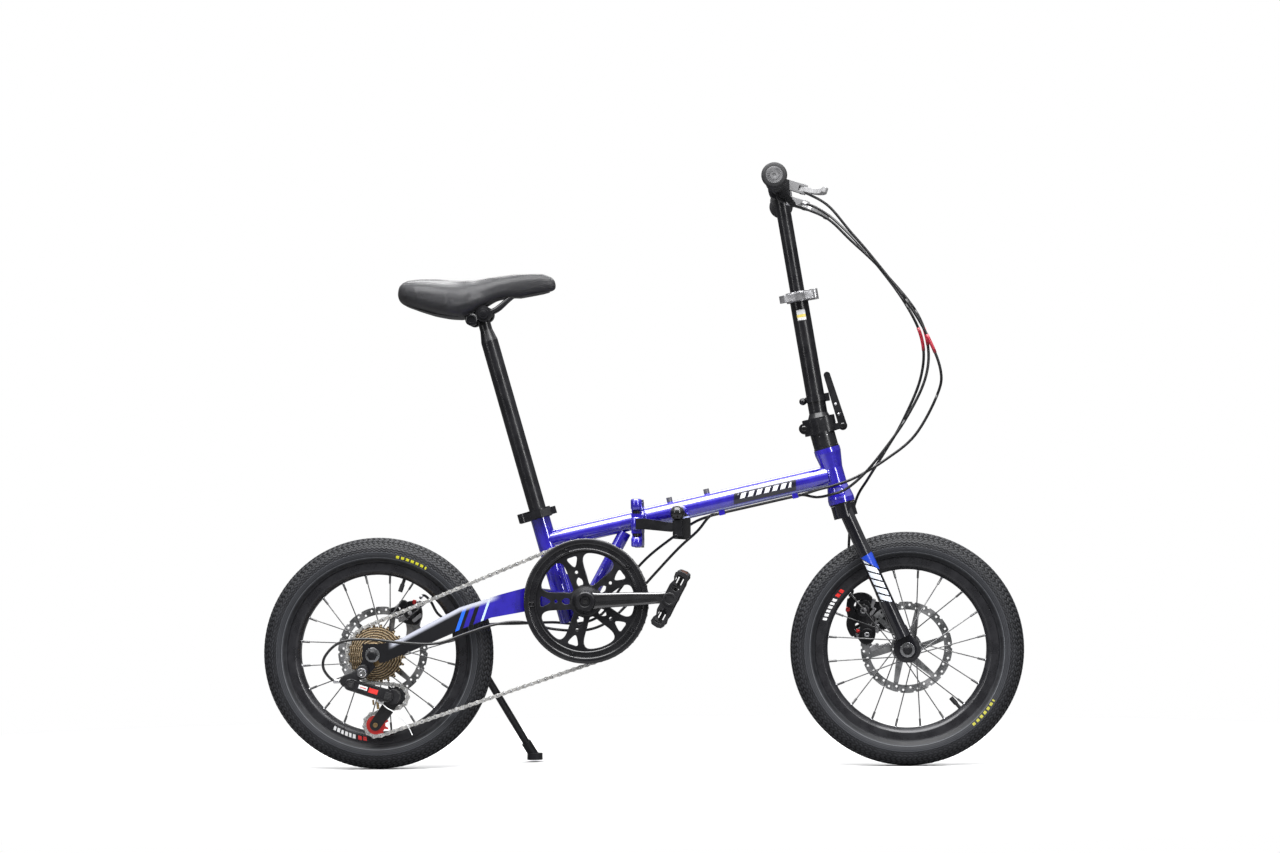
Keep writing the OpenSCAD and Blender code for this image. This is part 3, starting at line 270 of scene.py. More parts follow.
def fork_decals(x, y, z):
    blade_x = (z - 446) * (-97.5 / 222) + 358
    across = (x - blade_x) * 0.916
    outside = (y < -46) + (y > 46)
    level = z * 1.0
    top = outside * (level + across * 0.9 > 352) * (level - across * 0.5 < 366)
    blade = outside * (level > 286) * (level + across * 0.9 < 350)
    marks = (blade * (((level * 1.0 + across * 0.35) * (1 / 12.5)).frac() < 0.74)
             * (across.abs() < 8.2)
             * ((across + (level * (1 / 6.2)).frac() * 3.0).frac() > -1))
    return [(top, (0.008, 0.045, 0.42), 0.3), (marks, (0.75, 0.8, 0.88), 0.3)]


def tyre_marks_and_shade(x, y, z):
    along = x.abs() - AXLE_X
    radius = (along * along + (z - AXLE_Z) * (z - AXLE_Z)).op("SQRT")
    # distance out from the middle of the tyre's own round section
    out = ((radius - TYRE_R) * (radius - TYRE_R) + y * y).op("SQRT")
    # painted shade: the tread grooves are darkened
    groove_painted_shade = (out.soft(24.5, 23.8)) * (radius > 174)
    # lighter grey on the raised tread tops and sidewall ribs
    raised_tops = out.soft(24.85, 25.2) * (radius > 160)
    angle = (z - AXLE_Z).op("ARCTAN2", x.abs() - AXLE_X) * (180 / math.pi)
    marks = ((radius > 170.2) * (radius < 175.0) * (y < -20)
             * ((angle.abs() * (1 / 3.0)).frac() < 0.62))
    # the front marks are the same yellow print as the rear ones, painted darker as shade on the
    # lower side of the wheel
    front = marks * (x > 0) * (angle > -50) * (angle < -31)
    rear = marks * (x < 0) * (angle > 101) * (angle < 121)
    return [(raised_tops, (0.040, 0.042, 0.048), 0.5), (groove_painted_shade, (0.002, 0.002, 0.0025), 0.85),
            (front, (0.42, 0.40, 0.06), 0.5), (rear, (0.62, 0.6, 0.03), 0.5)]


def cog_shade_and_highlight(x, y, z):
    along = x + AXLE_X
    rise = z - AXLE_Z
    radius = (along * along + rise * rise).op("SQRT")
    # painted shade darkens the gaps between the stacked cogs, and a painted highlight lightens
    # each cog's edge
    ring = (radius * (1 / 4.05)).frac()
    return [((ring > 0.5) * (radius > 20) * (radius < 62), (0.05, 0.035, 0.02), 0.5),
            ((ring < 0.2) * (radius > 20) * (radius < 62), (0.62, 0.50, 0.34), 0.3)]


def control_decals(x, y, z):
    return [((x > 272) * (z > 960), (0.2, 0.2, 0.205), 0.25)]


def leather_grain(tree, broad, fine):
    coords = tree.nodes.new("ShaderNodeTexCoord")
    cells = tree.nodes.new("ShaderNodeTexVoronoi")
    cells.feature = "DISTANCE_TO_EDGE"
    tree.links.new(coords.outputs["Object"], cells.inputs["Vector"])
    cells.inputs["Scale"].default_value = 620
    return Value(tree, cells.outputs["Distance"]).soft(0.0, 0.16) + fine * 0.4 + broad * 0.3


BLUE = (0.017, 0.007, 0.40)
BLUE_PAINT = dict(rough=0.3, metal=0.3, coat=1.0, second=(0.024, 0.011, 0.52), fine=60,
                  bump=0.0, spread=0.1)
SMOOTH = dict(fine=60, bump=0.0, spread=0.08, edge=0)
surface("paint_blue_front", BLUE, decals=front_decals_and_reflection, edge=0, **BLUE_PAINT)
surface("paint_blue_rear", BLUE, decals=rear_decals_and_highlight, edge=0, **BLUE_PAINT)
surface("paint_black_fork", (0.0035, 0.0035, 0.006), rough=0.24, coat=0.26,
        decals=fork_decals, **SMOOTH)
surface("paint_black", (0.0045, 0.0045, 0.006), rough=0.3, coat=0.12, **SMOOTH)
surface("alloy_black", (0.010, 0.010, 0.012), rough=0.36, metal=0.35, coat=0.1, fine=1500,
        bump=0.04)
surface("plastic_black", (0.009, 0.009, 0.0105), rough=0.42, fine=1800, bump=0.08)
surface("rim_black", (0.018, 0.018, 0.021), rough=0.3, metal=0.3, coat=0.25, fine=1400,
        bump=0.02)
surface("steel_satin", (0.52, 0.53, 0.55), rough=0.3, metal=1.0, second=(0.66, 0.67, 0.69),
        fine=700, bump=0.08, spread=0.2)
surface("steel_brushed", (0.40, 0.41, 0.42), rough=0.34, metal=1.0,
        second=(0.55, 0.55, 0.56), fine=500, bump=0.12, spread=0.25, stretch=(1, 8, 1),
        edge=0.0003)
surface("chrome", (0.7, 0.71, 0.73), rough=0.14, metal=1.0, second=(0.82, 0.82, 0.84),
        bump=0.02, spread=0.08)
surface("alloy_silver", (0.5, 0.5, 0.52), rough=0.3, metal=0.9, second=(0.62, 0.62, 0.64),
        bump=0.07, spread=0.16)
surface("chain_steel", (0.5, 0.495, 0.48), rough=0.28, metal=0.6, second=(0.72, 0.71, 0.69),
        broad=160, fine=1500, bump=0.08, spread=0.22, edge=0.0003)
surface("cog_bronze", (0.34, 0.22, 0.10), rough=0.36, metal=0.8, second=(0.46, 0.33, 0.17),
        broad=120, bump=0.1, spread=0.2, edge=0.0003, decals=cog_shade_and_highlight)
surface("red_plastic", (0.62, 0.02, 0.02), rough=0.35, coat=0.3, second=(0.75, 0.04, 0.03),
        fine=1300, bump=0.06)
surface("red_anodised", (0.65, 0.03, 0.03), rough=0.3, metal=0.7, coat=0.2,
        second=(0.8, 0.05, 0.05))
surface("label_white", (0.7, 0.71, 0.72), rough=0.4, coat=0.1, second=(0.8, 0.8, 0.8),
        fine=1200, bump=0.03)
surface("label_yellow", (0.75, 0.6, 0.12), rough=0.4, coat=0.1, second=(0.8, 0.66, 0.2),
        fine=1200, bump=0.03)
surface("cable_black", (0.006, 0.006, 0.007), rough=0.32, coat=0.15, fine=80, bump=0.0,
        spread=0.08, edge=0)
surface("spoke_dark", (0.10, 0.10, 0.105), rough=0.3, metal=0.9, second=(0.2, 0.2, 0.2),
        fine=500, bump=0.02, edge=0)
surface("tyre_rubber", (0.0065, 0.0068, 0.0085), rough=0.46, second=(0.014, 0.0145, 0.017),
        broad=60, fine=1600, bump=0.35, spread=0.15, edge=0, decals=tyre_marks_and_shade, spec=0.3)
surface("tyre_line", (0.10, 0.105, 0.115), rough=0.5, bump=0.1, edge=0)
surface("saddle_leather", (0.012, 0.012, 0.0145), rough=0.4, coat=0.12,
        second=(0.02, 0.02, 0.0235), broad=30, bump=0.6, spread=0.16, grain=leather_grain,
        edge=0, depth=0.0005)
surface("plastic_gloss", (0.0075, 0.0075, 0.009), rough=0.25, coat=0.35, fine=100, bump=0.0,
        spread=0.1)
surface("reflector_amber", (0.14, 0.03, 0.004), rough=0.2, coat=0.6,
        second=(0.22, 0.05, 0.006), fine=260, bump=0.6, spread=0.1)
surface("paint_blue_plain", BLUE, edge=0.001, **BLUE_PAINT)
surface("controls", (0.009, 0.009, 0.0105), rough=0.4, fine=1800, decals=control_decals)
surface("sleeve_red", (0.32, 0.012, 0.03), rough=0.34, coat=0.2, second=(0.4, 0.02, 0.04),
        bump=0.04)
surface("lever_silver", (0.5, 0.5, 0.51), rough=0.26, metal=0.45, coat=0.3,
        second=(0.62, 0.62, 0.63), fine=700, bump=0.02, spread=0.1)
surface("paint_black_deep", (0.004, 0.004, 0.005), rough=0.3, coat=1.0, **SMOOTH)
surface("ball_black", (0.015, 0.015, 0.016), rough=0.12, metal=0.5, coat=0.8, fine=90,
        bump=0.15, spread=0.08, edge=0)
surface("grip_end", (0.10, 0.10, 0.105), rough=0.5, second=(0.17, 0.17, 0.175), fine=1300,
        bump=0.2, spread=0.14)
surface("grip_rubber", (0.010, 0.010, 0.0115), rough=0.62, broad=80, fine=1500, bump=0.3,
        spread=0.14, edge=0)

# ---------------------------------------------------------------- finishes of the CAD nodes
# material: the nodes that wear it; the rest are black plastic
FINISHES = {
    "paint_blue_rear": "rear_frame",
    "paint_blue_front": "front_frame",
    "paint_black_fork": "fork",
    "steel_satin": "bb_cartridge derailleur_link",
    "chrome": "frame_hinge_pin",
    "paint_black": "seat_collar seat_collar_lever seatpost post_base handlepost inner_post "
                   "handlebar crank_right crank_left",
    "alloy_black": "saddle_clamp headset frame_latch post_latch front_axle rear_axle "
                   "front_caliper rear_caliper kickstand",
    "alloy_silver": "post_collar post_collar_lever front_caliper_arm rear_caliper_arm",
    "grip_rubber": "grips front_tube rear_tube",
    "controls": "bar_controls",
    "lever_silver": "brake_lever_left brake_lever_right",
    "rim_black": "front_hub rear_hub front_rim rear_rim",
    "spoke_dark": "front_spokes rear_spokes",
    "steel_brushed": "front_rotor rear_rotor",
    "cog_bronze": "freewheel",
    "red_plastic": "jockey_lower",
    "tyre_rubber": "front_tyre rear_tyre",
    "saddle_leather": "saddle_pad",
    "chain_steel": "chain",
    "cable_black": "front_brake_cable rear_brake_cable shift_cable",
}


def finish_cad():
    finish = {node: name for name, nodes in FINISHES.items() for node in nodes.split()}
    for node, cad in FRAME["nodes"].items():
        cad.data.materials.clear()
        cad.data.materials.append(MATERIALS[finish.get(node, "plastic_black")])


finish_cad()


# ---------------------------------------------------------------- mesh building
# A shape is a pair: points in mm, and faces.
def piece(name, body, material, *shapes, smooth=True, sharp=None, stands_for=None, slot=None):
    """One object made of shapes; edges over sharp degrees stay crisp."""
    verts, faces = [], []
    for points, polygons in shapes:
        start = len(verts)
        verts += [tuple(float(c) * MM for c in p) for p in points]
        faces += [[start + i for i in polygon] for polygon in polygons]
    mesh = bpy.data.meshes.new(name)
    mesh.from_pydata(verts, [], faces)
    mesh.update()
    if smooth:
        mesh.shade_smooth()
        if sharp:
            mesh.set_sharp_from_angle(angle=rad(sharp))
    made = bpy.data.objects.new(name, mesh)
    bpy.context.scene.collection.objects.link(made)
    mesh.materials.append(MATERIALS[material])
    if body:
        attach(made, body)
    if stands_for:
        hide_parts(stands_for)
    return made


def grid(rows, cols, wrap_rows=False, wrap_cols=False):
    """Quads over rows of points; a wrapped direction closes on its start."""
    faces = []
    for i in range(rows if wrap_rows else rows - 1):
        j = (i + 1) % rows
        for k in range(cols if wrap_cols else cols - 1):
            m = (k + 1) % cols
            faces.append([i * cols + k, i * cols + m, j * cols + m, j * cols + k])
    return faces


def end_caps(rows, cols):
    return [list(range(cols))[::-1], [(rows - 1) * cols + k for k in range(cols)]]


def loft(points, rows):
    """A closed skin over equal rings of points."""
    cols = len(points) // rows
    caps = [cap[::-1] for cap in end_caps(rows, cols)]
    return points, grid(rows, cols, wrap_cols=True) + caps


def basis(axis):
    """Unit axis and two directions across it."""
    axis = np.asarray(axis, float)
    axis = axis / np.linalg.norm(axis)
    across = np.cross(axis, [0, 1, 0] if abs(axis[1]) < 0.9 else [1, 0, 0])
    across /= np.linalg.norm(across)
    return axis, across, np.cross(axis, across)


def turned(point, axis, profile, seg=32, ends="caps"):
    """Profile of (radius, distance along axis) turned round the line through point.

    ends is "caps", "open", or "ring" for a profile that closes on itself."""
    axis, across, other = basis(axis)
    point = np.asarray(point, float)
    points, n = [], len(profile)
    for i in range(seg):
        a = 2 * math.pi * i / seg
        out = math.cos(a) * across + math.sin(a) * other
        points += [point + r * out + h * axis for r, h in profile]
    faces = grid(seg, n, wrap_rows=True, wrap_cols=ends == "ring")
    if ends == "caps":
        faces.append([i * n for i in range(seg)])
        faces.append([i * n + n - 1 for i in reversed(range(seg))])
    return points, faces


def cup(point, axis, profile, seg):
    """A turned shape with its ends left open."""
    return turned(point, axis, profile, seg, "open")


def rod(start, end, r, seg=16):
    """A round bar with cut edges."""
    start, end = np.asarray(start, float), np.asarray(end, float)
    length = np.linalg.norm(end - start)
    cut = min(0.5, r * 0.4, length * 0.3)
    profile = [(r - cut, 0), (r, cut), (r, length - cut), (r - cut, length)]
    return turned(start, end - start, profile, seg)


def catmull(a, b, c, d, t):
    return 0.5 * (2 * b + (c - a) * t + (2 * a - 5 * b + 4 * c - d) * t * t
                  + (3 * b - a - 3 * c + d) * t ** 3)


def spline(points, steps=8):
    """A smooth open curve through points."""
    points = [np.asarray(p, float) for p in points]
    out = []
    for i in range(len(points) - 1):
        a, b, c = points[max(i - 1, 0)], points[i], points[i + 1]
        d = points[min(i + 2, len(points) - 1)]
        out += [catmull(a, b, c, d, k / steps) for k in range(steps)]
    out.append(points[-1])
    return np.array(out)


def closed(points, steps=6):
    """A smooth closed loop through flat points."""
    points = [np.array(p, float) for p in points]
    n, out = len(points), []
    for i in range(n):
        a, b, c, d = points[i - 1], points[i], points[(i + 1) % n], points[(i + 2) % n]
        out += [tuple(catmull(a, b, c, d, k / steps)) for k in range(steps)]
    return out


def sweep(path, r, seg=12):
    """A tube along path; r is a number or one per point."""
    path = np.asarray(path, float)
    n = len(path)
    r = np.full(n, float(r)) if np.isscalar(r) else np.asarray(r, float)
    tangent = np.gradient(path, axis=0)
    tangent /= np.linalg.norm(tangent, axis=1)[:, None]
    across = basis(tangent[0])[1]
    points = []
    for i in range(n):
        across = across - (across @ tangent[i]) * tangent[i]
        across /= np.linalg.norm(across)
        other = np.cross(tangent[i], across)
        for k in range(seg):
            a = 2 * math.pi * k / seg
            points.append(path[i] + r[i] * (math.cos(a) * across + math.sin(a) * other))
    return points, grid(n, seg, wrap_cols=True) + end_caps(n, seg)


def box(centre, half_a, half_b, half_c, cut):
    """A box with cut edges, from its centre and three half-edge vectors."""
    centre = np.asarray(centre, float)
    halves = [np.asarray(v, float) for v in (half_a, half_b, half_c)]
    bm = bmesh.new()
    bmesh.ops.create_cube(bm, size=2)
    for v in bm.verts:
        v.co = Vector(centre + sum(halves[i] * v.co[i] for i in range(3)))
    cut = min(cut, min(np.linalg.norm(v) for v in halves) * 0.6)
    bmesh.ops.bevel(bm, geom=bm.edges[:], offset=cut, segments=2, affect="EDGES")
    bm.verts.ensure_lookup_table()
    points = [tuple(v.co) for v in bm.verts]
    faces = [[v.index for v in f.verts] for f in bm.faces]
    bm.free()
    return points, faces


def slabs(*rows):
    """Boxes square to y, from rows of centre, half edge (x, z), half width in y,
    other half edge (x, z), cut."""
    return [box(centre, (a[0], 0, a[1]), (0, width, 0), (b[0], 0, b[1]), cut)
            for centre, a, width, b, cut in rows]


def bolt(point, axis, r, h):
    """A round bolt head with a recess."""
    return cup(point, axis, [(r, 0), (r, h * 0.8), (r * 0.86, h), (r * 0.55, h),
                             (r * 0.52, h * 0.35), (0.01, h * 0.35)], 24)


def weld_bead(centre, axis, r, thick):
    """A ring with ripples."""
    axis, across, other = basis(axis)
    centre = np.asarray(centre, float)
    points, seg = [], 72
    for i in range(seg):
        a = 2 * math.pi * i / seg
        out = math.cos(a) * across + math.sin(a) * other
        ripple = thick * (1 + 0.22 * math.sin(i * math.pi * 0.66))
        for k in range(6):
            b = 2 * math.pi * k / 6
            points.append(centre + (r + ripple * math.cos(b)) * out
                          + ripple * math.sin(b) * axis)
    return points, grid(seg, 6, wrap_rows=True, wrap_cols=True)


def circle(centre, r, n=40):
    return [(centre[0] + r * math.cos(rad(a)), centre[1] + r * math.sin(rad(a)))
            for a in np.linspace(0, 360, n, endpoint=False)]


def rotated(points, angle, centre):
    """Flat points turned by angle and moved to centre."""
    c, s = math.cos(rad(angle)), math.sin(rad(angle))
    return [(centre[0] + x * c - y * s, centre[1] + x * s + y * c) for x, y in points]


def plate(name, body, material, loops, y0, y1, edge=0.6, **kind):
    """A flat plate from y0 to y1; loops in x-z, outline first and then holes."""
    curve = bpy.data.curves.new(name + "_c", "CURVE")
    curve.dimensions = "2D"
    curve.fill_mode = "BOTH"
    half = abs(y1 - y0) / 2 * MM
    edge = min(edge * MM, half * 0.6)
    curve.extrude = half - edge
    curve.bevel_depth = edge
    curve.bevel_resolution = 1
    curve.offset = -edge
    for loop in loops:
        line = curve.splines.new("POLY")
        line.points.add(len(loop) - 1)
        line.use_cyclic_u = True
        for point, (x, z) in zip(line.points, loop):
            point.co = (x * MM, z * MM, 0, 1)
    holder = bpy.data.objects.new(name + "_c", curve)
    bpy.context.scene.collection.objects.link(holder)
    bpy.context.view_layer.update()
    mesh = bpy.data.meshes.new_from_object(
        holder.evaluated_get(bpy.context.evaluated_depsgraph_get()))
    points = [(v.co.x / MM, (y0 + y1) / 2 - v.co.z / MM, v.co.y / MM) for v in mesh.vertices]
    faces = [list(f.vertices) for f in mesh.polygons]
    bpy.data.objects.remove(holder)
    bpy.data.curves.remove(curve)
    bpy.data.meshes.remove(mesh)
    piece(name, body, material, (points, faces), sharp=32, **kind)


def side_letter(side):
    return "l" if side > 0 else "r"


# ---------------------------------------------------------------- tyres
TREAD_LUGS = 132
# centre along the section and width of each groove round the tread
TREAD_GROOVES = [(0.0, 1.0), (6.2, 0.75), (12.6, 0.8), (19.0, 0.8), (24.6, 0.7), (29.6, 0.6),
                 (34.6, 0.6), (38.4, 0.6)]
SIDE_RIBS = (100, 106, 112, 118, 134, 140)     # degrees from the crown
# inner face, from one bead to its inside: radius, y
TYRE_INNER = [(152.0, 12.3), (150.6, 12.0), (150.6, 10.8), (157, 11.0), (170, 19.8),
              (TYRE_R, 21.4), (196, 12)]


def tread_height(degrees, lug_phase):
    """Height over the round section, at one section angle, all round the wheel."""
    flat = abs(degrees)
    height = np.zeros(len(lug_phase))
    if flat < 92:
        arc = abs(rad(degrees)) * SECTION_R
        zigzag = 0.34 * np.abs(((arc / 6.2) % 2) - 1)
        offset = 0.5 if degrees > 0 else 0
        gap = np.abs(((lug_phase + zigzag * 2.0 + offset) % 1) - 0.5) * 2
        gap = np.clip((gap - 0.66) / 0.24, 0, 1)
        height = -1.35 * gap * np.clip((70 - flat) / 8, 0.25 if flat < 84 else 0, 1)
        for centre, width in TREAD_GROOVES:
            away = arc - centre - 1.0 * np.sin(lug_phase * 2 * math.pi)
            groove_depth = 1.4 if centre < 20 else 1.0
            height = np.minimum(height, -groove_depth * np.exp(-(away / width) ** 2))
        height = height * np.clip((92 - flat) / 5, 0, 1) + 0.15
    elif flat < 95:
        height = np.full(len(lug_phase), 0.3)
    for rib in SIDE_RIBS:
        height = height + 0.45 * math.exp(-((flat - rib) / 1.5) ** 2)
    return height


def tyre(tag, axle):
    steps = 1056
    around = np.arange(steps) * 2 * math.pi / steps
    lug_phase = around * TREAD_LUGS / (2 * math.pi)

    def ring(r, y):
        return np.stack([axle[0] + r * np.cos(around), y + np.zeros(steps),
                         axle[2] + r * np.sin(around)], axis=1)

    rings = []
    for degrees in np.concatenate([np.linspace(-152, -100, 22)[:-1],
                                   np.linspace(-100, 100, 77),
                                   np.linspace(100, 152, 22)[1:]]):
        t = rad(degrees)
        height = tread_height(degrees, lug_phase)
        r = min(TYRE_R + SECTION_R * math.cos(t), 202.35)
        r = np.minimum(r + height * max(math.cos(t), 0.15), 202.45)
        rings.append(ring(r, SECTION_R * math.sin(t) + height * math.sin(t)))
    inner = TYRE_INNER + [(199, 0)] + [(r, -y) for r, y in TYRE_INNER[::-1]]
    rings += [ring(r, y) for r, y in inner]
    points = np.stack(rings, axis=1).reshape(-1, 3)
    piece(tag + "_tyre_tread", tag + "_wheel", "tyre_rubber",
          (points, grid(steps, len(rings), wrap_rows=True, wrap_cols=True)),
          sharp=50, stands_for=tag + "_tyre", slot="tyre")
    # pale line round each sidewall
    for side in (-1, 1):
        section = [(TYRE_R + 25.0 * math.cos(rad(t)), side * 25.0 * math.sin(rad(t)))
                   for t in (112, 113.4, 114.8)]
        points = []
        for i in range(180):
            b = 2 * math.pi * i / 180
            points += [(axle[0] + r * math.cos(b), y + side * 0.12, axle[2] + r * math.sin(b))
                       for r, y in section]
        piece(f"{tag}_tyre_line_{side_letter(side)}", tag + "_wheel", "tyre_line",
              (points, grid(180, 3, wrap_rows=True)), slot="tyre")


# ---------------------------------------------------------------- rims
# left half of the hoop section: radius, y
RIM_HALF = [(137.5, 8), (139, 9.8), (145, 14.6), (146.2, 15), (158.4, 15), (159, 14.6),
            (159, 13), (158.4, 12.6), (150, 12.6), (148, 9)]
# blocks on the rim faces, by material: offset and width in degrees
RIM_MARKS = {
    "red": [(0, 2.4), (3.4, 2.6)],
    "white": [(7.4, 2.0), (10.2, 1.7), (12.9, 2.0), (15.8, 1.7), (18.6, 2.0), (21.4, 1.7)],
}


def rim_block(axle, side, middle, width):
    points = []
    for t in np.linspace(-width / 2, width / 2, 5):
        for r in (147.2, 154.2):
            b = rad(middle + t + (r - 150) * 0.09)
            points.append((axle[0] + r * math.cos(b), side * 15.12, axle[2] + r * math.sin(b)))
    return points, grid(5, 2)


def rim(tag, axle, mark_angle, mark_turn):
    wheel = tag + "_wheel"
    profile = [(137.5, -8), (137.3, 0)] + RIM_HALF + [(r, -y) for r, y in RIM_HALF[:0:-1]]
    piece(tag + "_rim_hoop", wheel, "rim_black", turned(axle, LEFT, profile, 180, "ring"),
          sharp=28, stands_for=tag + "_rim", slot="rim_black")
    eyelets = []
    for i in range(20):
        a = rad(i * 18 + 9)
        out = np.array([math.cos(a), 0, math.sin(a)])
        centre = axle + out * 137.9 + [0, 1.5 if i % 2 == 0 else -1.5, 0]
        eyelets.append(turned(centre, -out, [(3.0, 0), (3.0, 1.0), (2.3, 1.6), (2.1, 1.6)], 14))
    piece(tag + "_spoke_eyelets", wheel, "chrome", *eyelets, sharp=40)
    for side in (-1, 1):
        for colour, material in (("red", "red_plastic"), ("white", "label_white")):
            blocks = [rim_block(axle, side, mark_angle + offset * mark_turn, width)
                      for offset, width in RIM_MARKS[colour]]
            piece(f"{tag}_rim_mark_{colour}_{side_letter(side)}", wheel, material, *blocks,
                  smooth=False)


# end of the marks in degrees, and which way they run
for wheel_tag, wheel_axle, first_mark, mark_way in (("front", FRONT_AXLE, 138, 1),
                                                    ("rear", REAR_AXLE, 261, -1)):
    tyre(wheel_tag, wheel_axle)
    rim(wheel_tag, wheel_axle, first_mark, mark_way)


# ---------------------------------------------------------------- chain
def pitch_radius(teeth):
    return PITCH / (2 * math.sin(math.pi / teeth))


# chainring, cog, upper and lower pulley: x, z and radius (negative where the chain
# wraps the other way); the upper run meets the ring and pulleys at these angles
UPPER_PULLEY, LOWER_PULLEY = (-428, 128.0), (-463.5, 79.0)
SPROCKETS = [(CRANK_XZ, pitch_radius(52)), ((-AXLE_X, AXLE_Z), pitch_radius(25)),
             (UPPER_PULLEY, -pitch_radius(10)), (LOWER_PULLEY, pitch_radius(10))]
# sprocket, start angle, end angle (0 is straight down), y
CHAIN_ARCS = [(0, 378.39 - 360, 201.75, CHAINRING_Y), (1, 201.75, 355.0, COG_Y),
              (2, 355.0, 191.3, COG_Y), (3, 191.3, 378.39, COG_Y)]


def chain_path():
    path = []
    for index, start, end, y in CHAIN_ARCS:
        (x, z), r = SPROCKETS[index]
        n = max(4, int(abs(end - start) / 1.5))
        for m in range(n + 1):
            a = rad(start + (end - start) * m / n)
            path.append((x + r * math.sin(a), y, z + r * -math.cos(a)))
    path = np.array(path + [path[0]])
    keep = [0] + [i for i in range(1, len(path))
                  if np.linalg.norm(path[i] - path[i - 1]) > 1e-3]
    return path[keep]


def link_outline(length):
    """A waisted link plate: along, up."""
    outline = []
    for centre, turn, waist in ((length, 0, -2.5), (0, 180, 2.5)):
        for q in np.linspace(-75, 75, 5):
            t = rad(q + turn)
            outline.append((centre + 3.85 * math.cos(t), 3.85 * math.sin(t)))
        outline.append((length / 2, -waist))
    return outline


def chain():
    path = chain_path()
    steps = np.linalg.norm(np.diff(path, axis=0), axis=1)
    run = np.concatenate([[0], np.cumsum(steps)])
    n = int(round(run[-1] / PITCH / 2)) * 2
    step = run[-1] / n
    joints = np.array([[np.interp((i * step + 3.0) % run[-1], run, path[:, c])
                        for c in range(3)] for i in range(n)])
    links, pins = [], []
    for i in range(n):
        start = joints[i]
        along = joints[(i + 1) % n] - start
        length = np.linalg.norm(along)
        along = along / length
        upward = np.cross(np.array([0, 1.0, 0]), along)
        upward /= np.linalg.norm(upward)
        across = np.cross(along, upward)
        outline = link_outline(length)
        near, far = (2.3, 3.25) if i % 2 == 0 else (1.3, 2.2)
        for faces_y in ((-far, -near), (near, far)):
            points = [start + along * u + upward * v + across * y
                      for y in faces_y for u, v in outline]
            m = len(outline)
            links.append((points, end_caps(2, m) + grid(2, m, wrap_cols=True)))
        links.append(turned(start - across * 1.25, across, [(3.3, 0), (3.3, 2.5)], 12))
        pins.append(turned(start - across * 3.7, across,
                           [(1.4, 0), (1.75, 0.3), (1.75, 7.1), (1.4, 7.4)], 10))
    piece("chain_links", "rear_frame", "chain_steel", *links, sharp=30, stands_for="chain",
          slot="steel")
    piece("chain_pins", "rear_frame", "steel_satin", *pins, sharp=30, slot="steel")


chain()

# ---------------------------------------------------------------- cables
CABLE_STEPS = 8


def under_tube(x, y, drop):
    return (x, y, tube_z(x) - drop)


# control points, bar end first: x, y, z
REAR_BRAKE = [
    (284, -115, 992), (304, -104, 986), (338, -90, 966), (374, -80, 923), (408, -71, 883),
    (467, -63, 806), (503, -59, 745), (526, -53, 684), (520, -46, 641), (481, -39, 572),
    (429, -36, 530), (377, -32, 500), (340, -22, 487), (312, -13, 480),
    under_tube(285, -5.5, 21.9), under_tube(268, -5.5, 21.8), under_tube(204, -5.5, 21.8),
    under_tube(140, -5.5, 21.8), under_tube(122, -5, 22.6), (96, 3, 426), (60, 18, 402),
    (10, 34, 364), (-34, 38, 316), (-70, 37, 267), (-110, 36, 250), (-160, 39, 252),
    (-220, 52, 250), (-262, 67, 249), (-300, 75, 247), (-335, 79, 248), (-366, 80, 266),
    (-380, 77, 290), (-391, 70, 301), (-397.6, 65.8, 295.4)]
SHIFT = [
    (264, -80, 974), (300, -62, 964), (338, -54, 946), (374, -50, 911), (425, -48, 861),
    (484, -48, 788), (505, -48, 727), (499, -49, 667), (464, -50, 598), (420, -51, 538),
    (389, -46, 503), (360, -37, 480), (334, -26, 471), (310, -4, 467),
    under_tube(285, 5.5, 22.4), under_tube(268, 5.5, 21.8), under_tube(204, 5.5, 21.8),
    under_tube(140, 5.5, 21.8), under_tube(122, 6, 23), (100, 12, 410), (66, 20, 380),
    (20, 26, 332), (-24, 28, 284), (-59, 17, 253), (-96, -16, 240), (-150, -34, 243),
    (-205, -43, 256), (-250, -56, 253), (-300, -66, 238), (-350, -76, 222), (-410, -84, 224),
    (-470, -90, 231), (-515, -92, 226), (-541, -91, 204), (-546, -88, 182), (-534, -83, 163),
    (-521, -80.6, 158.4)]
FRONT_BRAKE = [
    (292, 106, 991), (316, 84, 980), (352, 44, 950), (412, -6, 880), (468, -30, 800),
    (496, -34, 734), (492, -30, 670), (460, -14, 596), (430, 8, 546), (400, 32, 499),
    (380, 54, 466), (368, 71, 420), (364, 74, 370), (364, 68, 334), (368, 58, 309)]


def bend(cable_piece, upper, lower, start, end):
    tuple(c * MM for c in start)
    tuple(c * MM for c in end)
    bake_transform(cable_piece)


def span(points, first, last, margin=10):
    """Upright start and end of a bend, just inside the run from first to last."""
    return (0, 0, points[first][2] - margin), (0, 0, points[last][2] + margin)


def cable(name, points, node, parts):
    """A cable in parts: last control point, bodies, and where a bend starts and ends."""
    path = spline(points, CABLE_STEPS)
    first = 0
    for k, (last, bodies, *ends) in enumerate(parts):
        tube = sweep(path[first * CABLE_STEPS:last * CABLE_STEPS + 1], 2.4)
        body = None if ends else bodies[0]
        made = piece(f"{name}_{k + 1}", body, "cable_black", tube, slot="grip_rubber")
        if ends:
            bend(made, *bodies, *ends)
        if k == 0:
            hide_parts(node)
        first = last


def post_parts(points, first):
    """The two runs from the bar down the handlepost; the first ends at point first."""
    return [(first, ("upper_post", "handlepost"), *span(points, 0, first)),
            (8, ("handlepost", "fork"), *span(points, first, 8))]


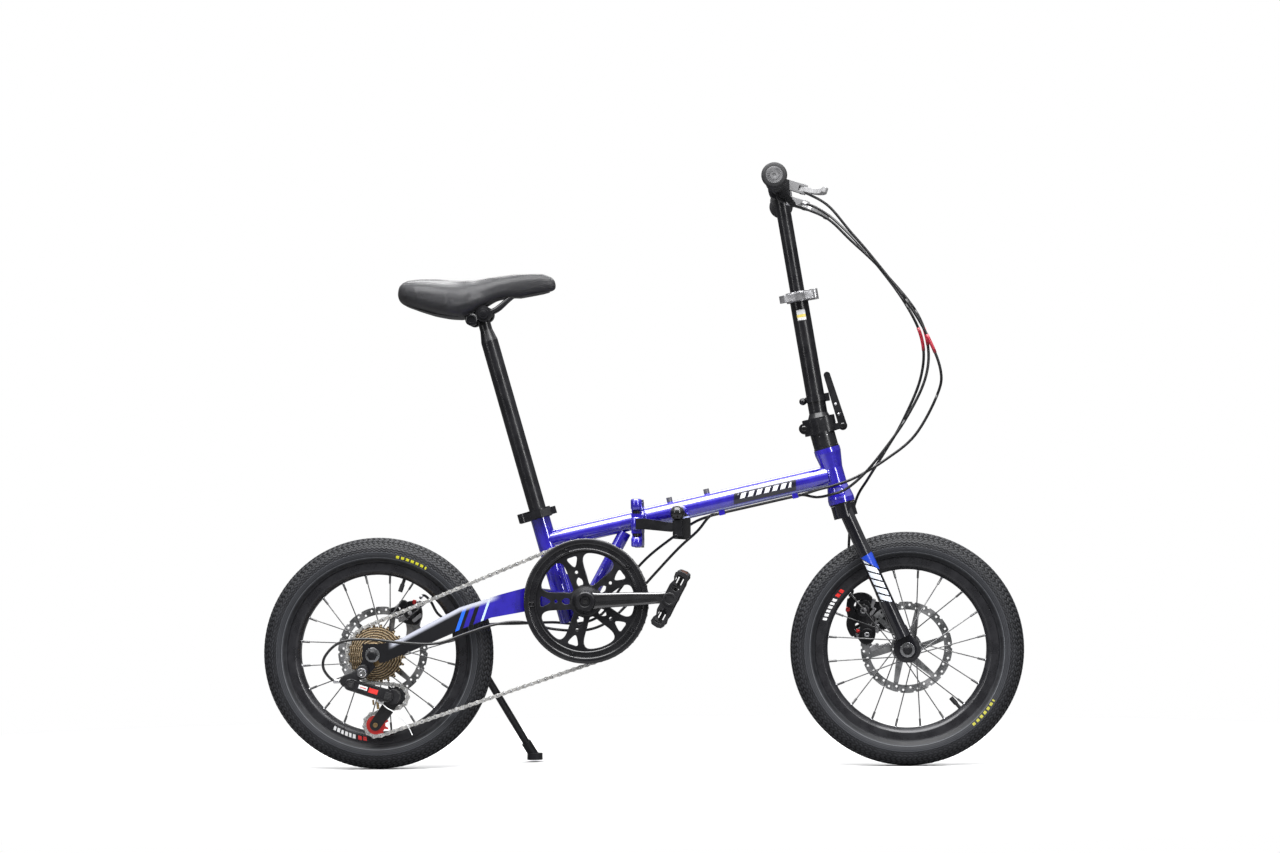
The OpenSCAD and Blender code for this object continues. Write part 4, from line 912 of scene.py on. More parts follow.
def rear_parts(points, hinge_end, last):
    """Runs of a cable that goes on to the rear frame."""
    return post_parts(points, 5) + [
        (14, ("fork", "front_frame"), *span(points, 8, 14, 6)),
        (18, ("front_frame",)),
        (23, ("front_frame", "rear_frame"), (116, 0, 0), (hinge_end, 0, 0)),
        (last, ("rear_frame",))]


cable("rear_brake_line", REAR_BRAKE, "rear_brake_cable", rear_parts(REAR_BRAKE, -64, 33))
cable("shift_line", SHIFT, "shift_cable", rear_parts(SHIFT, -56, 36))
cable("front_brake_line", FRONT_BRAKE, "front_brake_cable",
      post_parts(FRONT_BRAKE, 4) + [(14, ("fork",))])

# ---------------------------------------------------------------- saddle
# stations along the pad: x, top, bottom, half width
PAD = [(-419, 838, 824, 24), (-414, 850, 815, 46), (-402, 856.5, 808, 63),
       (-382, 857.8, 800, 74), (-355, 855.8, 791, 75), (-330, 852.3, 786, 70),
       (-306, 851.3, 784, 57), (-285, 852.6, 794, 45), (-265, 855.5, 807, 35),
       (-248, 858, 817, 30), (-228, 860.6, 822, 26.5), (-205, 863.2, 820.5, 24),
       (-185, 864.3, 824, 22), (-165, 862.8, 827.5, 19.5), (-150, 857, 829.5, 15),
       (-142, 848, 832, 8)]
# stations along the shell: x, bottom, half width
SHELL = [(-408, 814, 46), (-398, 809, 57), (-380, 803, 66), (-355, 795.5, 67),
         (-330, 791, 61), (-306, 789, 49), (-285, 798, 38), (-265, 810, 30),
         (-248, 819.4, 25), (-228, 824, 21), (-205, 822.8, 19), (-185, 826, 17),
         (-165, 829.4, 14), (-154, 832, 9)]
# left rail: x, y, z
RAIL = [(-385, 33, 812), (-368, 30, 806), (-345, 25.5, 799.8), (-318, 20.6, 795.6),
        (-304, 20, 795), (-280, 20, 796.4), (-260, 19.6, 798.4), (-248, 18, 803),
        (-238, 15.6, 810.5), (-229, 12.6, 818.5), (-219, 9.6, 826)]


def pad_shape():
    points = []
    for x, top, bottom, half in PAD:
        middle = (top + bottom) / 2
        for k in range(28):
            a = 2 * math.pi * k / 28
            c, s = math.cos(a), math.sin(a)
            reach = (top - middle) if s > 0 else (middle - bottom)
            points.append((x, half * 0.95 * math.copysign(abs(c) ** 0.72, c),
                           middle + reach * 0.96 * math.copysign(abs(s) ** 0.8, s)))
    return loft(points, len(PAD))


def inflate(cover, rest):
    """Blow the cover up as cloth pinned along its bottom; moves are limited to 4.5 mm."""
    pin = cover.vertex_groups.new(name="pin")
    for v in cover.data.vertices:
        if v.co.z < 0.806 + max(0, (v.co.x + 0.28)) * 0.16:
            pin.add([v.index], 1.0, "REPLACE")
    cloth = cover.modifiers.new("c", "CLOTH")
    settings = cloth.settings
    settings.quality = 6
    settings.mass = 0.25
    settings.use_pressure = True
    settings.uniform_pressure_force = 4.0
    settings.tension_stiffness = 12
    settings.compression_stiffness = 12
    settings.bending_stiffness = 4
    settings.effector_weights.gravity = 0
    settings.vertex_group_mass = "pin"
    cloth.collision_settings.use_self_collision = False
    frames = 20
    cloth.point_cache.frame_start = 1
    cloth.point_cache.frame_end = frames
    scene = bpy.context.scene
    scene.frame_start, scene.frame_end = 1, frames
    for frame in range(1, frames + 1):
        scene.frame_set(frame)
        bpy.context.view_layer.update()
    result = cover.evaluated_get(bpy.context.evaluated_depsgraph_get())
    move = np.array([v.co for v in result.data.vertices]) - rest
    cover.modifiers.remove(cloth)
    scene.frame_set(1)
    length = np.linalg.norm(move, axis=1)
    move *= (np.minimum(length, 0.0045) / np.maximum(length, 1e-9))[:, None]
    return rest + move


def saddle_cover():
    cover = piece("saddle_cover", None, "saddle_leather", pad_shape())
    bpy.context.view_layer.objects.active = cover
    cover.select_set(True)
    remesh = cover.modifiers.new("r", "REMESH")
    remesh.mode = "VOXEL"
    remesh.voxel_size = 0.005
    bpy.ops.object.modifier_apply(modifier="r")
    moved = np.array([v.co for v in cover.data.vertices])
    moved = inflate(cover, moved)
    x, y, z = (moved[:, i] * 1000 for i in range(3))
    # a shallow channel along the middle of the top
    z = z - (2.2 * np.exp(-(y / 5.5) ** 2) * np.clip((x + 385) / 40, 0, 1)
             * np.clip((-215 - x) / 40, 0, 1) * np.clip((z - 838) / 12, 0, 1))
    # a seam pressed in round the edge
    stations = [s[0] for s in PAD]
    half = np.interp(x, stations, [s[3] for s in PAD])
    seam_z = np.interp(x, stations, [s[2] * 0.55 + s[1] * 0.45 for s in PAD])
    flank = np.clip(np.abs(y) / np.maximum(half, 1) - 0.55, 0, 1) * 2
    seam = -0.9 * np.exp(-((z - seam_z) / 1.8) ** 2) * np.clip(flank, 0, 1)
    y = y + np.sign(y) * seam
    z = np.clip(z, 785.3, 864.5)
    x = np.clip(x, -420.5, -139.3)
    y = np.clip(y, -74.8, 74.8)
    places = (np.stack([x, y, z], 1) * MM).astype(np.float32)
    cover.data.vertices.foreach_set("co", places.ravel())
    cover.data.update()
    smoothing = cover.modifiers.new("s", "SUBSURF")
    smoothing.levels = smoothing.render_levels = 1
    bpy.ops.object.modifier_apply(modifier="s")
    cover.data.shade_smooth()
    cover.select_set(False)
    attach(cover, "saddle")
    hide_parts("saddle_pad")


def saddle_rails():
    rails = [sweep(spline([(x, side * y, z) for x, y, z in RAIL], 6), 3.5, 14)
             for side in (-1, 1)]
    piece("saddle_rails", "saddle", "paint_black", *rails, stands_for="saddle_base",
          slot="black_plastic")


def saddle_shell():
    """A shallow tray closing the pad from below."""
    points, m = [], 14
    for x, bottom, half in SHELL:
        for k in range(m + 1):
            t = -1 + 2 * k / m
            points.append((x, half * 0.7 * t, bottom - 0.6 * (1 - abs(t) ** 3)))
        for k in range(m + 1):
            t = 1 - 2 * k / m
            points.append((x, half * 0.68 * t, bottom + 3.5 - 1.8 * (1 - abs(t) ** 3)))
    piece("saddle_shell", "saddle", "plastic_black", loft(points, len(SHELL)), sharp=50,
          slot="black_plastic")


saddle_cover()
saddle_rails()
saddle_shell()

# ---------------------------------------------------------------- cranks
# stations along an arm from the crank axle: distance, half height
ARM = [(-15.5, 3), (-14.5, 8), (-11, 12), (-4, 15.2), (4, 15.8), (14, 14.6), (26, 13.2),
       (50, 12.9), (80, 12.2), (110, 10.4), (130, 9.6), (141, 10.4), (152, 11.6),
       (158, 10.4), (162, 6.5), (163.4, 2)]
# turned round the crank axle: radius, y outward from the place given
HUB_RIGHT = [(9.2, 3.2), (9.6, 0.8), (10.4, 0), (14.5, 0), (16.4, 1.2), (17, 3.4), (18.6, 5),
             (19, 9), (19, 14), (24, 19.5), (29, 21), (29, 25.6), (8.4, 25.6), (8.4, 44),
             (8.4, 136), (0.01, 136)]
GUARD = [(87.2, -58.3), (87.2, -60.2), (88.4, -61), (90, -60.9), (91.4, -59.6),
         (97.6, -59.4), (98.6, -60.6), (100, -61.4), (106.8, -61.4), (108.3, -60.4),
         (108.5, -58.6), (108.5, -52.2), (107.4, -51.8), (105.7, -52.2), (105.6, -57),
         (104, -58.2)]


def on_crank(y):
    return (CRANK_AXLE[0], y, CRANK_AXLE[2])


def spider():
    window = closed([(28, 0), (44, -13), (66, -26.5), (79, -23), (83.5, 0), (79, 23),
                     (66, 26.5), (44, 13)])
    inner_slot = closed([(27, 0), (30, -4.6), (37, -5), (42.5, 0), (37, 5), (30, 4.6)])
    outer_slot = closed([(62, 0), (74, -8), (79, -7.5), (79.5, 0), (79, 7.5), (74, 8)])
    loops = [circle(CRANK_XZ, 93.5, 120)]
    for k in range(5):
        arm = 72 * k + 36
        loops.append(rotated(window, arm + 36, CRANK_XZ))
        for hole in (inner_slot, circle((52.5, 0), 2.7, 18), outer_slot):
            loops.append(rotated(hole, arm, CRANK_XZ))
    plate("crank_spider", "crank", "alloy_black", loops, -58, -52.4, 0.9,
          stands_for="crank_right", slot="black_metal")


def crank_arm(name, side, end, y0, y1, **kind):
    middle = np.array(CRANK_XZ)
    along = (end - middle) / np.linalg.norm(end - middle)
    normal = np.array([-along[1], along[0]])
    points, m = [], 20
    for t, half in ARM:
        q = middle + along * t
        thick = (y1 - y0) / 2 * (0.82 + 0.18 * min(1, half / 10))
        bow = 1.2 * math.sin(math.pi * min(max(t, 0) / 152, 1)) * (-side)
        for k in range(m):
            a = 2 * math.pi * k / m
            c, s = math.cos(a), math.sin(a)
            u = half * math.copysign(abs(c) ** 0.62, c)
            v = thick * math.copysign(abs(s) ** 0.5, s)
            # hollow along the outer face
            if abs(u) < half * 0.45 and 22 < t < 118 and v * side > 0:
                v *= 0.80
            points.append((q[0] + normal[0] * u, (y0 + y1) / 2 + v * 0.94 + bow,
                           q[1] + normal[1] * u))
    arm = piece("crank_arm_" + name, "crank", "paint_black_deep", loft(points, len(ARM)),
                sharp=60, **kind)
    smoothing = arm.modifiers.new("s", "SUBSURF")
    smoothing.levels = smoothing.render_levels = 1
    outer_y = y0 - 0.6 if side < 0 else y1 + 0.6
    piece("crank_eye_ring_" + name, "crank", "alloy_black",
          turned((end[0], outer_y, end[1]), (0, -side, 0),
                 [(9.4, 0), (9.8, 0.6), (9.8, 2.2)], 30), sharp=30)


def guard_clips():
    shapes, half_y = [], (0, 1.1, 0)
    for k in range(5):
        a = rad(72 * k + 39)
        out = np.array([math.cos(a), 0, math.sin(a)])
        round_ = np.array([-out[2], 0, out[0]])
        p = CRANK_AXLE + out * 94.3 + np.array([0, -60.4, 0])
        shapes += [
            box(p + round_ * 3.4, out * 4.6, round_ * 0.9, half_y, 0.3),
            box(p - round_ * 3.4, out * 4.6, round_ * 0.9, half_y, 0.3),
            box(p - out * 4.2, out * 0.9, round_ * 4, half_y, 0.3),
            turned(p + np.array([0, 0.6, 0]), RIGHT, [(2.2, 0), (2.2, 0.9), (1.6, 1.3)], 14),
            rod(p + np.array([0, 1, 0]), p + np.array([0, 13.5, 0]), 3.2, 12)]
    piece("guard_clips", "crank", "alloy_black", *shapes, sharp=30)


def chainring_teeth():
    r, outline = pitch_radius(52), []
    # place within a tooth, height over the pitch circle
    tooth = ((-0.5, -4.0), (-0.27, -3.2), (-0.1, 1.7), (0.1, 1.7), (0.27, -3.2))
    for k in range(52):
        for place, height in tooth:
            a = rad(360 / 52 * (k + place))
            outline.append((CRANK_XZ[0] + (r + height) * math.cos(a),
                            CRANK_XZ[1] + (r + height) * math.sin(a)))
    plate("chainring_teeth", "crank", "steel_satin", [outline, circle(CRANK_XZ, 84, 90)],
          CHAINRING_Y - 0.8, CHAINRING_Y + 0.8, 0.2)


def cranks():
    spider()
    piece("crank_hub_right", "crank", "alloy_black", cup(on_crank(-78.2), LEFT, HUB_RIGHT, 56),
          cup(on_crank(-75), LEFT, [(0.01, 1.4), (4.2, 1.4), (4.6, -0.8), (8.2, -0.8),
                                    (9.2, 0)], 6), sharp=30)
    crank_arm("right", -1, PEDAL_RIGHT, -74.8, -62)
    crank_arm("left", 1, PEDAL_LEFT, 64, 76.6, stands_for="crank_left", slot="black_metal")
    piece("crank_hub_left", "crank", "alloy_black",
          cup(on_crank(80), RIGHT, [(8.6, 2.4), (9.4, 0.3), (13.8, 0), (16.4, 1.2), (17, 3),
                                    (17, 21.6), (8.4, 21.6)], 48),
          cup(on_crank(77.4), LEFT, [(0.01, -2), (4.2, -2), (4.6, 0), (8.6, 0)], 6), sharp=30)
    piece("guard_ring", "crank", "plastic_gloss", turned(on_crank(0), LEFT, GUARD, 150, "ring"),
          sharp=35, stands_for="chainring", slot="black_plastic")
    guard_clips()
    chainring_teeth()


cranks()

# ---------------------------------------------------------------- pedals
# end plate outline by quarters, and its left hole: along, up
PEDAL_TOP = [(-52, -3), (-51, 7), (-46, 12), (-38, 11), (-33, 8.5), (-24, 11.5), (-14, 11.5)]
PEDAL_BOTTOM = [(50, -9), (44, -12), (36, -10.5), (30, -11.8), (14, -11.5)]
PEDAL_HOLE = [(-44, -5), (-44, 5), (-40, 7), (-22, 6.5), (-17, 3), (-17, -3), (-22, -6.5),
              (-40, -6.5)]
BARREL = [(6.4, -0.4), (11, 0), (11.4, 2), (9.6, 8), (9.6, 84), (11.6, 88), (12, 94.4),
          (11, 95.6), (8.2, 95.8), (7.4, 94.6), (0.01, 94.6)]
SPINDLE = [(4.4, 0), (6, 1.2), (6, 14.6), (8.5, 14.8), (8.5, 17), (7.2, 18.4), (6.2, 20),
           (6.2, 29)]


def pedal(name, place, side, angle):
    def mirrored(points):
        return [(-x, z) for x, z in points[::-1]]

    body = "pedal_" + name
    outline = PEDAL_TOP + mirrored(PEDAL_TOP) + PEDAL_BOTTOM + mirrored(PEDAL_BOTTOM)
    other_hole = mirrored(PEDAL_HOLE[1:] + PEDAL_HOLE[:1])
    loops = [rotated(p, angle, place) for p in (outline, PEDAL_HOLE, other_hole)]
    plate(body + "_outer", body, "plastic_black", loops, side * 177, side * 186, 0.8,
          stands_for=body, slot="black_plastic")
    plate(body + "_inner", body, "plastic_black", loops, side * 92, side * 99, 0.8)
    c, s = math.cos(rad(angle)), math.sin(rad(angle))
    along, upward = np.array([c, 0, s]), np.array([-s, 0, c])

    def at(x, y):
        return np.array([place[0], 0, place[1]]) + along * x + np.array([0, side * y, 0])

    cage = []
    for x in (-46, 46):
        cage.append(box(at(x, 139), along * 4.5, upward * 8.2, (0, 43, 0), 1.0))
        for k in range(7):
            for q in (-1, 1):
                cage.append(box(at(x, 104 + k * 11.6) + upward * q * 8.4, along * 3.2,
                                upward * 1.6, (0, 2.6, 0), 0.5))
    for x in (-24, 24):
        cage.append(box(at(x, 138), along * 1.8, upward * 7.5, (0, 41, 0), 0.6))
    for k in range(5):
        cage.append(box(at(0, 112 + k * 13.5), along * 44, upward * 2.2, (0, 1.6, 0), 0.5))
    piece(body + "_cage", body, "plastic_black", *cage, sharp=30)
    outward = (0, side, 0)
    piece(body + "_barrel", body, "plastic_black", cup(at(0, 92), outward, BARREL, 36),
          sharp=30)
    piece(body + "_spindle", body, "steel_satin", turned(at(0, 62.6), outward, SPINDLE, 24),
          sharp=30)
    for q, letter in ((-1, "b"), (1, "a")):
        piece(f"{body}_reflector_{letter}", body, "reflector_amber",
              box(at(q * 50.4, 138), along * 0.7, upward * 5.2, (0, 24, 0), 0.3), sharp=30)


pedal("right", PEDAL_RIGHT, -1, 62)
pedal("left", PEDAL_LEFT, 1, 14)


# ---------------------------------------------------------------- calipers, on the left side
def front_bracket():
    shapes = []
    for a, b in (((378, 228), (404, 196)), ((404, 196), (432, 204))):
        a = np.array([a[0], 48.6, a[1]], float)
        b = np.array([b[0], 48.6, b[1]], float)
        along = (b - a) / np.linalg.norm(b - a)
        shapes.append(box((a + b) / 2, (b - a) / 2 + along * 3, (0, 3.4, 0),
                          np.cross(along, [0, 1, 0]) * 6.4, 1.4))
    for x, z in ((380, 226), (404, 198)):
        shapes += [bolt((x, 45.4, z), RIGHT, 4.4, 3.0),
                   cup((x, 48, z), LEFT, [(8, 0), (8, 5.4), (6.6, 6.4), (0.01, 6.4)], 26)]
    piece("front_caliper_bracket", "fork", "alloy_silver", *shapes, sharp=32)


def front_caliper():
    plate("front_caliper_body", "fork", "alloy_black", [closed([
        (361, 232), (358, 246), (362, 266), (360, 284), (372, 297), (390, 299), (404, 291),
        (400, 281), (386, 286), (373, 280), (374, 268), (384, 262), (398, 262), (409, 256),
        (406, 242), (394, 238), (384, 246), (374, 244), (376, 230), (368, 222)])],
        31.5, 46.4, 1.6, stands_for="front_caliper", slot="black_metal")
    plate("front_caliper_inner", "fork", "alloy_black", [closed([
        (376, 280), (392, 287), (402, 277), (399, 264), (406, 248), (409, 226), (402, 211),
        (388, 209), (379, 219), (382, 240), (377, 258)])], 29.4, 37.0, 1.4)
    front_bracket()
    piece("front_caliper_parts", "fork", "alloy_black",
          cup((388, 24.4, 268), LEFT, [(0.01, 0.2), (3, 0.2), (3.4, 1), (8.4, 0.4),
                                       (10.6, 1.4), (11, 7.2)], 36),
          cup((388, 46, 268), LEFT, [(8, 0), (9.4, 1), (9.4, 7), (10.4, 8), (10.4, 12),
                                     (9, 13.8), (0.01, 13.8)], 40),
          *slabs(((378, 49.8, 232), (9, 4), 3.2, (-3, 9), 1.2)),
          rod((366, 55.6, 291), (369, 55.6, 303.5), 3.9, 20),
          sweep(spline([(364, 55.6, 288), (362, 55.6, 270), (366, 52, 250),
                        (372, 48, 236)], 6), 3.6, 10),
          cup((394, 29.6, 226), RIGHT, [(11.4, -0.5), (11.4, 3.4), (9.6, 4.8), (6.4, 4.8),
                                        (6, 3.6), (0.01, 3.6)], 40),
          cup((399, 29.6, 252), RIGHT, [(7, -0.5), (7, 3), (5.4, 3.6), (0.01, 3.6)], 30),
          sharp=32)
    bolts = []
    for x, z in ((386, 262), (400, 246)):
        bolts += [bolt((x, 46.4, z), RIGHT, 4.6, 17.6), rod((x, 46, z), (x, 57.8, z), 2.9)]
    piece("front_caliper_bolts", "fork", "alloy_silver",
          cup((388, 24.6, 268), RIGHT, [(5.6, -0.4), (5.6, 0.2), (4.6, 1.0), (2.8, 1.0),
                                        (2.6, -0.4), (0.01, -0.4)], 28),
          *bolts,
          *slabs(((402, 36, 262), (7, 10), 5.4, (-2.4, 1.7), 1.0),
                 ((405, 33, 280), (3, 8), 3, (-3, 1), 0.8),
                 ((384, 33.5, 233), (9, 5), 2.2, (-3, 6), 0.8)),
          cup((394, 26.2, 226), RIGHT, [(4.6, -0.4), (4.6, 0.8), (3.4, 1.4), (1.8, 1.4),
                                        (1.6, 0), (0.01, 0)], 24),
          *slabs(((407, 32, 203), (8, 4), 3, (-2.4, 4.4), 1.0),
                 ((385, 28, 272), (7, 5), 1.2, (-2, 3.2), 0.6),
                 ((412, 33, 236), (3, -1), 3, (1, 8), 0.8)), sharp=32)
    piece("front_caliper_screws", "fork", "alloy_black",
          *[cup((x, 31.3, z), RIGHT, [(2.6, -0.5), (2.6, 0.5), (1.8, 1.0), (0.01, 1.0)], 14)
            for x, z in ((378, 229), (388, 237), (399, 276))], sharp=32)
    piece("front_caliper_adjuster", "fork", "red_anodised",
          cup((363, 33, 270), BACK, [(3.0, -2), (4.2, 0), (4.2, 4), (3.6, 5.2),
                                     (0.01, 5.2)], 16),
          cup((380, 32, 232), (-1, 0, 0.1), [(2.6, -2), (3.6, 0), (3.6, 4), (2.8, 5),
                                             (0.01, 5)], 14), sharp=32)


def rear_caliper():
    body = "rear_frame"
    plate("rear_caliper_body_a", body, "alloy_black", [closed([
        (-432, 262), (-428, 282), (-419, 290), (-404, 292), (-393, 280), (-392, 262),
        (-398, 251), (-410, 250), (-424, 254)])], 40, 47.2, 1.4,
        stands_for="rear_caliper", slot="black_metal")
    plate("rear_caliper_body_b", body, "alloy_black", [closed([
        (-428, 266), (-426, 282), (-418, 290), (-404, 291), (-394, 279), (-393, 262),
        (-399, 253), (-412, 252)])], 52, 63.4, 1.4)
    plate("rear_caliper_bracket", body, "alloy_silver", [closed([
        (-424, 215), (-412, 219), (-404, 226), (-398, 246), (-397, 260), (-412, 262),
        (-423, 260), (-421, 240)], 4)], 57.4, 64.6, 1.0)
    piece("rear_caliper_parts", body, "alloy_black",
          box((-395.8, 49.6, 272), (2.4, 0, 0), (0, 3.6, 0), (0, 0, 12), 0.8),
          cup((-411, 40.4, 271), RIGHT, [(11, 0), (11, 5.4), (9, 7.2), (4.4, 7.2), (4, 6.2),
                                         (0.01, 6.2)], 36),
          turned((-411, 62.8, 271), LEFT, [(13, 0), (13, 6)], 36),
          rod((-405, 65.4, 279), (-400, 65.4, 289.6), 3.2, 18),
          cup((-424, 38, 286), LEFT, [(0.01, -2), (5, -2), (7.6, -1), (8, 1), (8, 9)], 28),
          *slabs(((-440, 42.6, 276), (8, 3), 3, (-2, 5), 1.2)),
          *[cup((x, 38.8, z), RIGHT, [(2.8, -0.5), (2.8, 1), (0.01, 1.4)], 14)
            for x, z in ((-443, 264), (-431, 268))], sharp=32)
    piece("rear_caliper_bolts", body, "alloy_silver",
          cup((-411, 33.4, 271), RIGHT, [(3.8, 0), (3.8, 0.8), (2.4, 1.2), (0.01, 1.2)], 20),
          *slabs(((-424, 41, 262), (9, 3), 2.6, (-1.6, 5), 0.8),
                 ((-399, 38.6, 262), (8, 6), 2.4, (-2, 2.6), 0.8),
                 ((-396, 39.4, 285), (3, 7), 2, (-2.6, 1.1), 0.6),
                 ((-437, 41, 266), (9, -2), 2.4, (1.4, 4.6), 0.8),
                 ((-432, 42, 284), (6, 5), 2.2, (-2, 2.4), 0.6)),
          *[bolt((x, 57.2, z), RIGHT, 4.4, 4.4) for x, z in ((-418, 226), (-404, 252))],
          sharp=32)
    piece("rear_caliper_adjuster", body, "red_anodised",
          cup((-404.5, 40, 288), (0.2, 0, 1), [(2.4, -2), (3.6, 0), (3.6, 5), (2.8, 6),
                                               (0.01, 6)], 16), sharp=32)


front_caliper()
rear_caliper()

# ---------------------------------------------------------------- rear derailleur
LINK_START, LINK_END = np.array([-500.0, -80, 152]), np.array([-444.0, -58, 132])
LINK = np.linalg.norm(LINK_END - LINK_START)
ALONG = (LINK_END - LINK_START) / LINK
ACROSS = np.array([0, 0, 1.0]) - ALONG[2] * ALONG
ACROSS /= np.linalg.norm(ACROSS)
OUT = np.cross(ALONG, ACROSS)
if OUT[1] > 0:
    OUT = -OUT


def on_link(along, across, out):
    return LINK_START + ALONG * along + ACROSS * across + OUT * out


def link_box(centre, along, across, out, cut):
    return box(on_link(*centre), ALONG * along, ACROSS * across, OUT * out, cut)


def link_cover():
    """A capsule with rounded rims."""
    rows = [(0.0, 0.82), (1.2, 0.96), (3, 1.0), (7.2, 1.0), (9, 0.95), (10, 0.84)]
    outline, m = [], 40
    for k in range(m):
        a = 2 * math.pi * k / m
        middle, r = (LINK + 2, 10.6) if math.cos(a) > 0 else (-4, 9.6)
        outline.append((middle + r * math.cos(a), r * math.sin(a)))
    points = []
    for height, scale in rows:
        stretch = 0.985 if scale < 0.9 else 1
        points += [on_link(LINK / 2 + (a - LINK / 2) * stretch, b * scale * 1.1, 5.4 + height)
                   for a, b in outline]
    piece("derailleur_cover", "derailleur_link", "plastic_gloss", loft(points, len(rows)),
          sharp=40, stands_for="derailleur_link", slot="steel")
    caps = []
    for a, half in ((-4, 7.4), (LINK + 2, 8.2)):
        caps.append(link_box((a, 0, 15.6), half * 0.72, half * 0.78, 0.7, 0.6))
        caps += [link_box((a, j * 2.2, 16.4), half * 0.6, 0.5, 0.35, 0.2)
                 for j in range(-2, 3)]
    piece("derailleur_cover_caps", "derailleur_link", "plastic_black", *caps, sharp=30)


def derailleur_hanger():
    body = "rear_frame"
    plate("derailleur_hanger", body, "plastic_black", [closed([
        (-470, 178), (-474, 186), (-484, 185), (-492, 176), (-512, 168), (-518, 158),
        (-512, 149), (-500, 150), (-488, 158), (-472, 166)])], -87, -72.8, 1.6,
        stands_for="derailleur", slot="black_plastic")
    piece("derailleur_hanger_bolt", body, "chrome",
          cup((-479, -87, 172.6), RIGHT, [(8.6, -1), (8.6, 2.4), (7.4, 4), (3.6, 4),
                                          (3.3, 1.6), (0.01, 1.6)], 32),
          rod((-519, -80, 158), (-530, -80, 158), 3.4), sharp=30)
    piece("derailleur_mount", body, "plastic_black",
          rod((-518, -80, 158), (-506, -80, 158), 3.6, 18),
          rod((-479, -64.4, 172.6), (-479, -84, 172.6), 4.8, 20),
          turned(LINK_START + [-9, 4.6, -3], UP, [(1.6, 0), (2, 0.4), (2, 5.6), (1.6, 6)],
                 16), sharp=30)


def derailleur():
    derailleur_hanger()
    link_cover()
    link = "derailleur_link"
    piece("derailleur_label_light", link, "label_white",
          link_box((LINK * 0.30, 1.0, 15.6), 8, 3.3, 0.25, 0.1), sharp=30)
    piece("derailleur_label_red", link, "red_plastic",
          link_box((LINK * 0.60, 0.4, 15.6), 8.5, 4.2, 0.25, 0.1),
          link_box((LINK * 0.30, 1.0, 15.95), 5.5, 0.7, 0.15, 0.05), sharp=30)
    piece("derailleur_link_plates", link, "steel_satin",
          *[rod(on_link(a, 0, -9.6), on_link(a, 0, 6), 3.6, 18) for a in (0, LINK)],
          *[link_box((LINK / 2, b, 0), LINK / 2 - 1, 1.4, 6.5, 0.5) for b in (7.8, -7.8)],
          sharp=30)
    coil = [on_link(4 + i * 0.5, 4.2 * math.cos(i * 0.8), 4.2 * math.sin(i * 0.8))
            for i in range(88) if 4 + i * 0.5 < LINK - 8]
    piece("derailleur_spring", link, "chrome", sweep(coil, 0.7, 6))
    # free end of the inner wire
    wire = spline([(-448, -66, 120), (-440, -72, 112), (-425, -78, 104), (-410, -80, 92),
                   (-400, -80, 78), (-393, -80, 64)], 6)
    piece("derailleur_wire_end", "derailleur_knuckle", "label_white", sweep(wire, 0.9, 8),
          rod((-455, -64, 123), (-447, -66.6, 119), 3.2, 14), sharp=40)
    piece("derailleur_screws", "derailleur_knuckle", "cog_bronze",
          turned((-456, -60, 116), (-0.1, 0, 1), [(1.2, -8), (2.4, -7), (2.4, 4), (2, 5)], 16),
          turned((-464, -58, 120), (-0.1, 0, 1), [(1.0, -5), (1.7, -4), (1.7, 4)], 12),
          sharp=40)
    bolts = []
    for x, z in (UPPER_PULLEY, LOWER_PULLEY):
        bolts += [bolt((x, -40.6, z), RIGHT, 4.2, 2.2),
                  cup((x, -21.8, z), LEFT, [(4, 0), (4, 1), (3, 1.6), (0.01, 1.6)], 6)]
    piece("pulley_bolts", "derailleur_cage", "cog_bronze", *bolts, sharp=30)
    piece("pulley_disc_red", "jockey_lower", "red_plastic",
          cup((LOWER_PULLEY[0], -33.6, LOWER_PULLEY[1]), RIGHT,
              [(4.4, 0), (4.4, 0.8), (16.2, 0.8), (16.8, 0.3), (16.8, 0)], 48), sharp=30)


derailleur()


# ---------------------------------------------------------------- frame hinge, welds, labels
def hinge_trim():
    """Three rounded caps down the clamp, and the catch with its ball knob."""
    for name, z0, z1 in (("top", 448.5, 468), ("mid", 413.5, 436.5), ("low", 384, 401.5)):
        h = z1 - z0
        profile = [(5, 0), (8.4, 0.6), (9.8, 2.6), (9.8, h - 2.6), (8.4, h - 0.6), (5, h)]
        piece("clamp_cap_" + name, "frame_latch", "paint_blue_plain",
              turned((-3, -38.5, z0), UP, profile, 36), sharp=35)
    ball = [(13.4 * math.sin(rad(a)), 13.4 * math.cos(rad(a)))
            for a in np.linspace(4, 150, 20)]
    piece("catch_knob", "front_frame", "ball_black",
          turned((69, -48, 443), (0.1, -0.35, 1), ball[::-1], 36), sharp=60)
    piece("catch_block", "front_frame", "alloy_black",
          box((70, -47, 416), (9.6, 0, 0), (0, 6.4, 0), (-0.6, 0, 17.2), 3.0),
          bolt((66, -53, 402), RIGHT, 3.6, 2.0), sharp=35)
    tube_axis = (math.cos(rad(TUBE_SLOPE)), 0, math.sin(rad(TUBE_SLOPE)))
    for name, x, thick in (("head", 332.5, 1.7), ("hinge_front", 12.0, 1.6)):
        piece("weld_" + name, "front_frame", "paint_blue_plain",
              weld_bead((x, 0, tube_z(x)), tube_axis, 18.2, thick))


def wrap(name, body, material, base, angle, heights, r, start, end):
    """A thin band round a leaning post, from start to end degrees."""
    points = []
    for i in range(11):
        t = rad(start + (end - start) * i / 10)
        points += [lean(base, angle, (r * math.cos(t), r * math.sin(t), z)) for z in heights]
    piece(name, body, material, (points, grid(11, 2)))


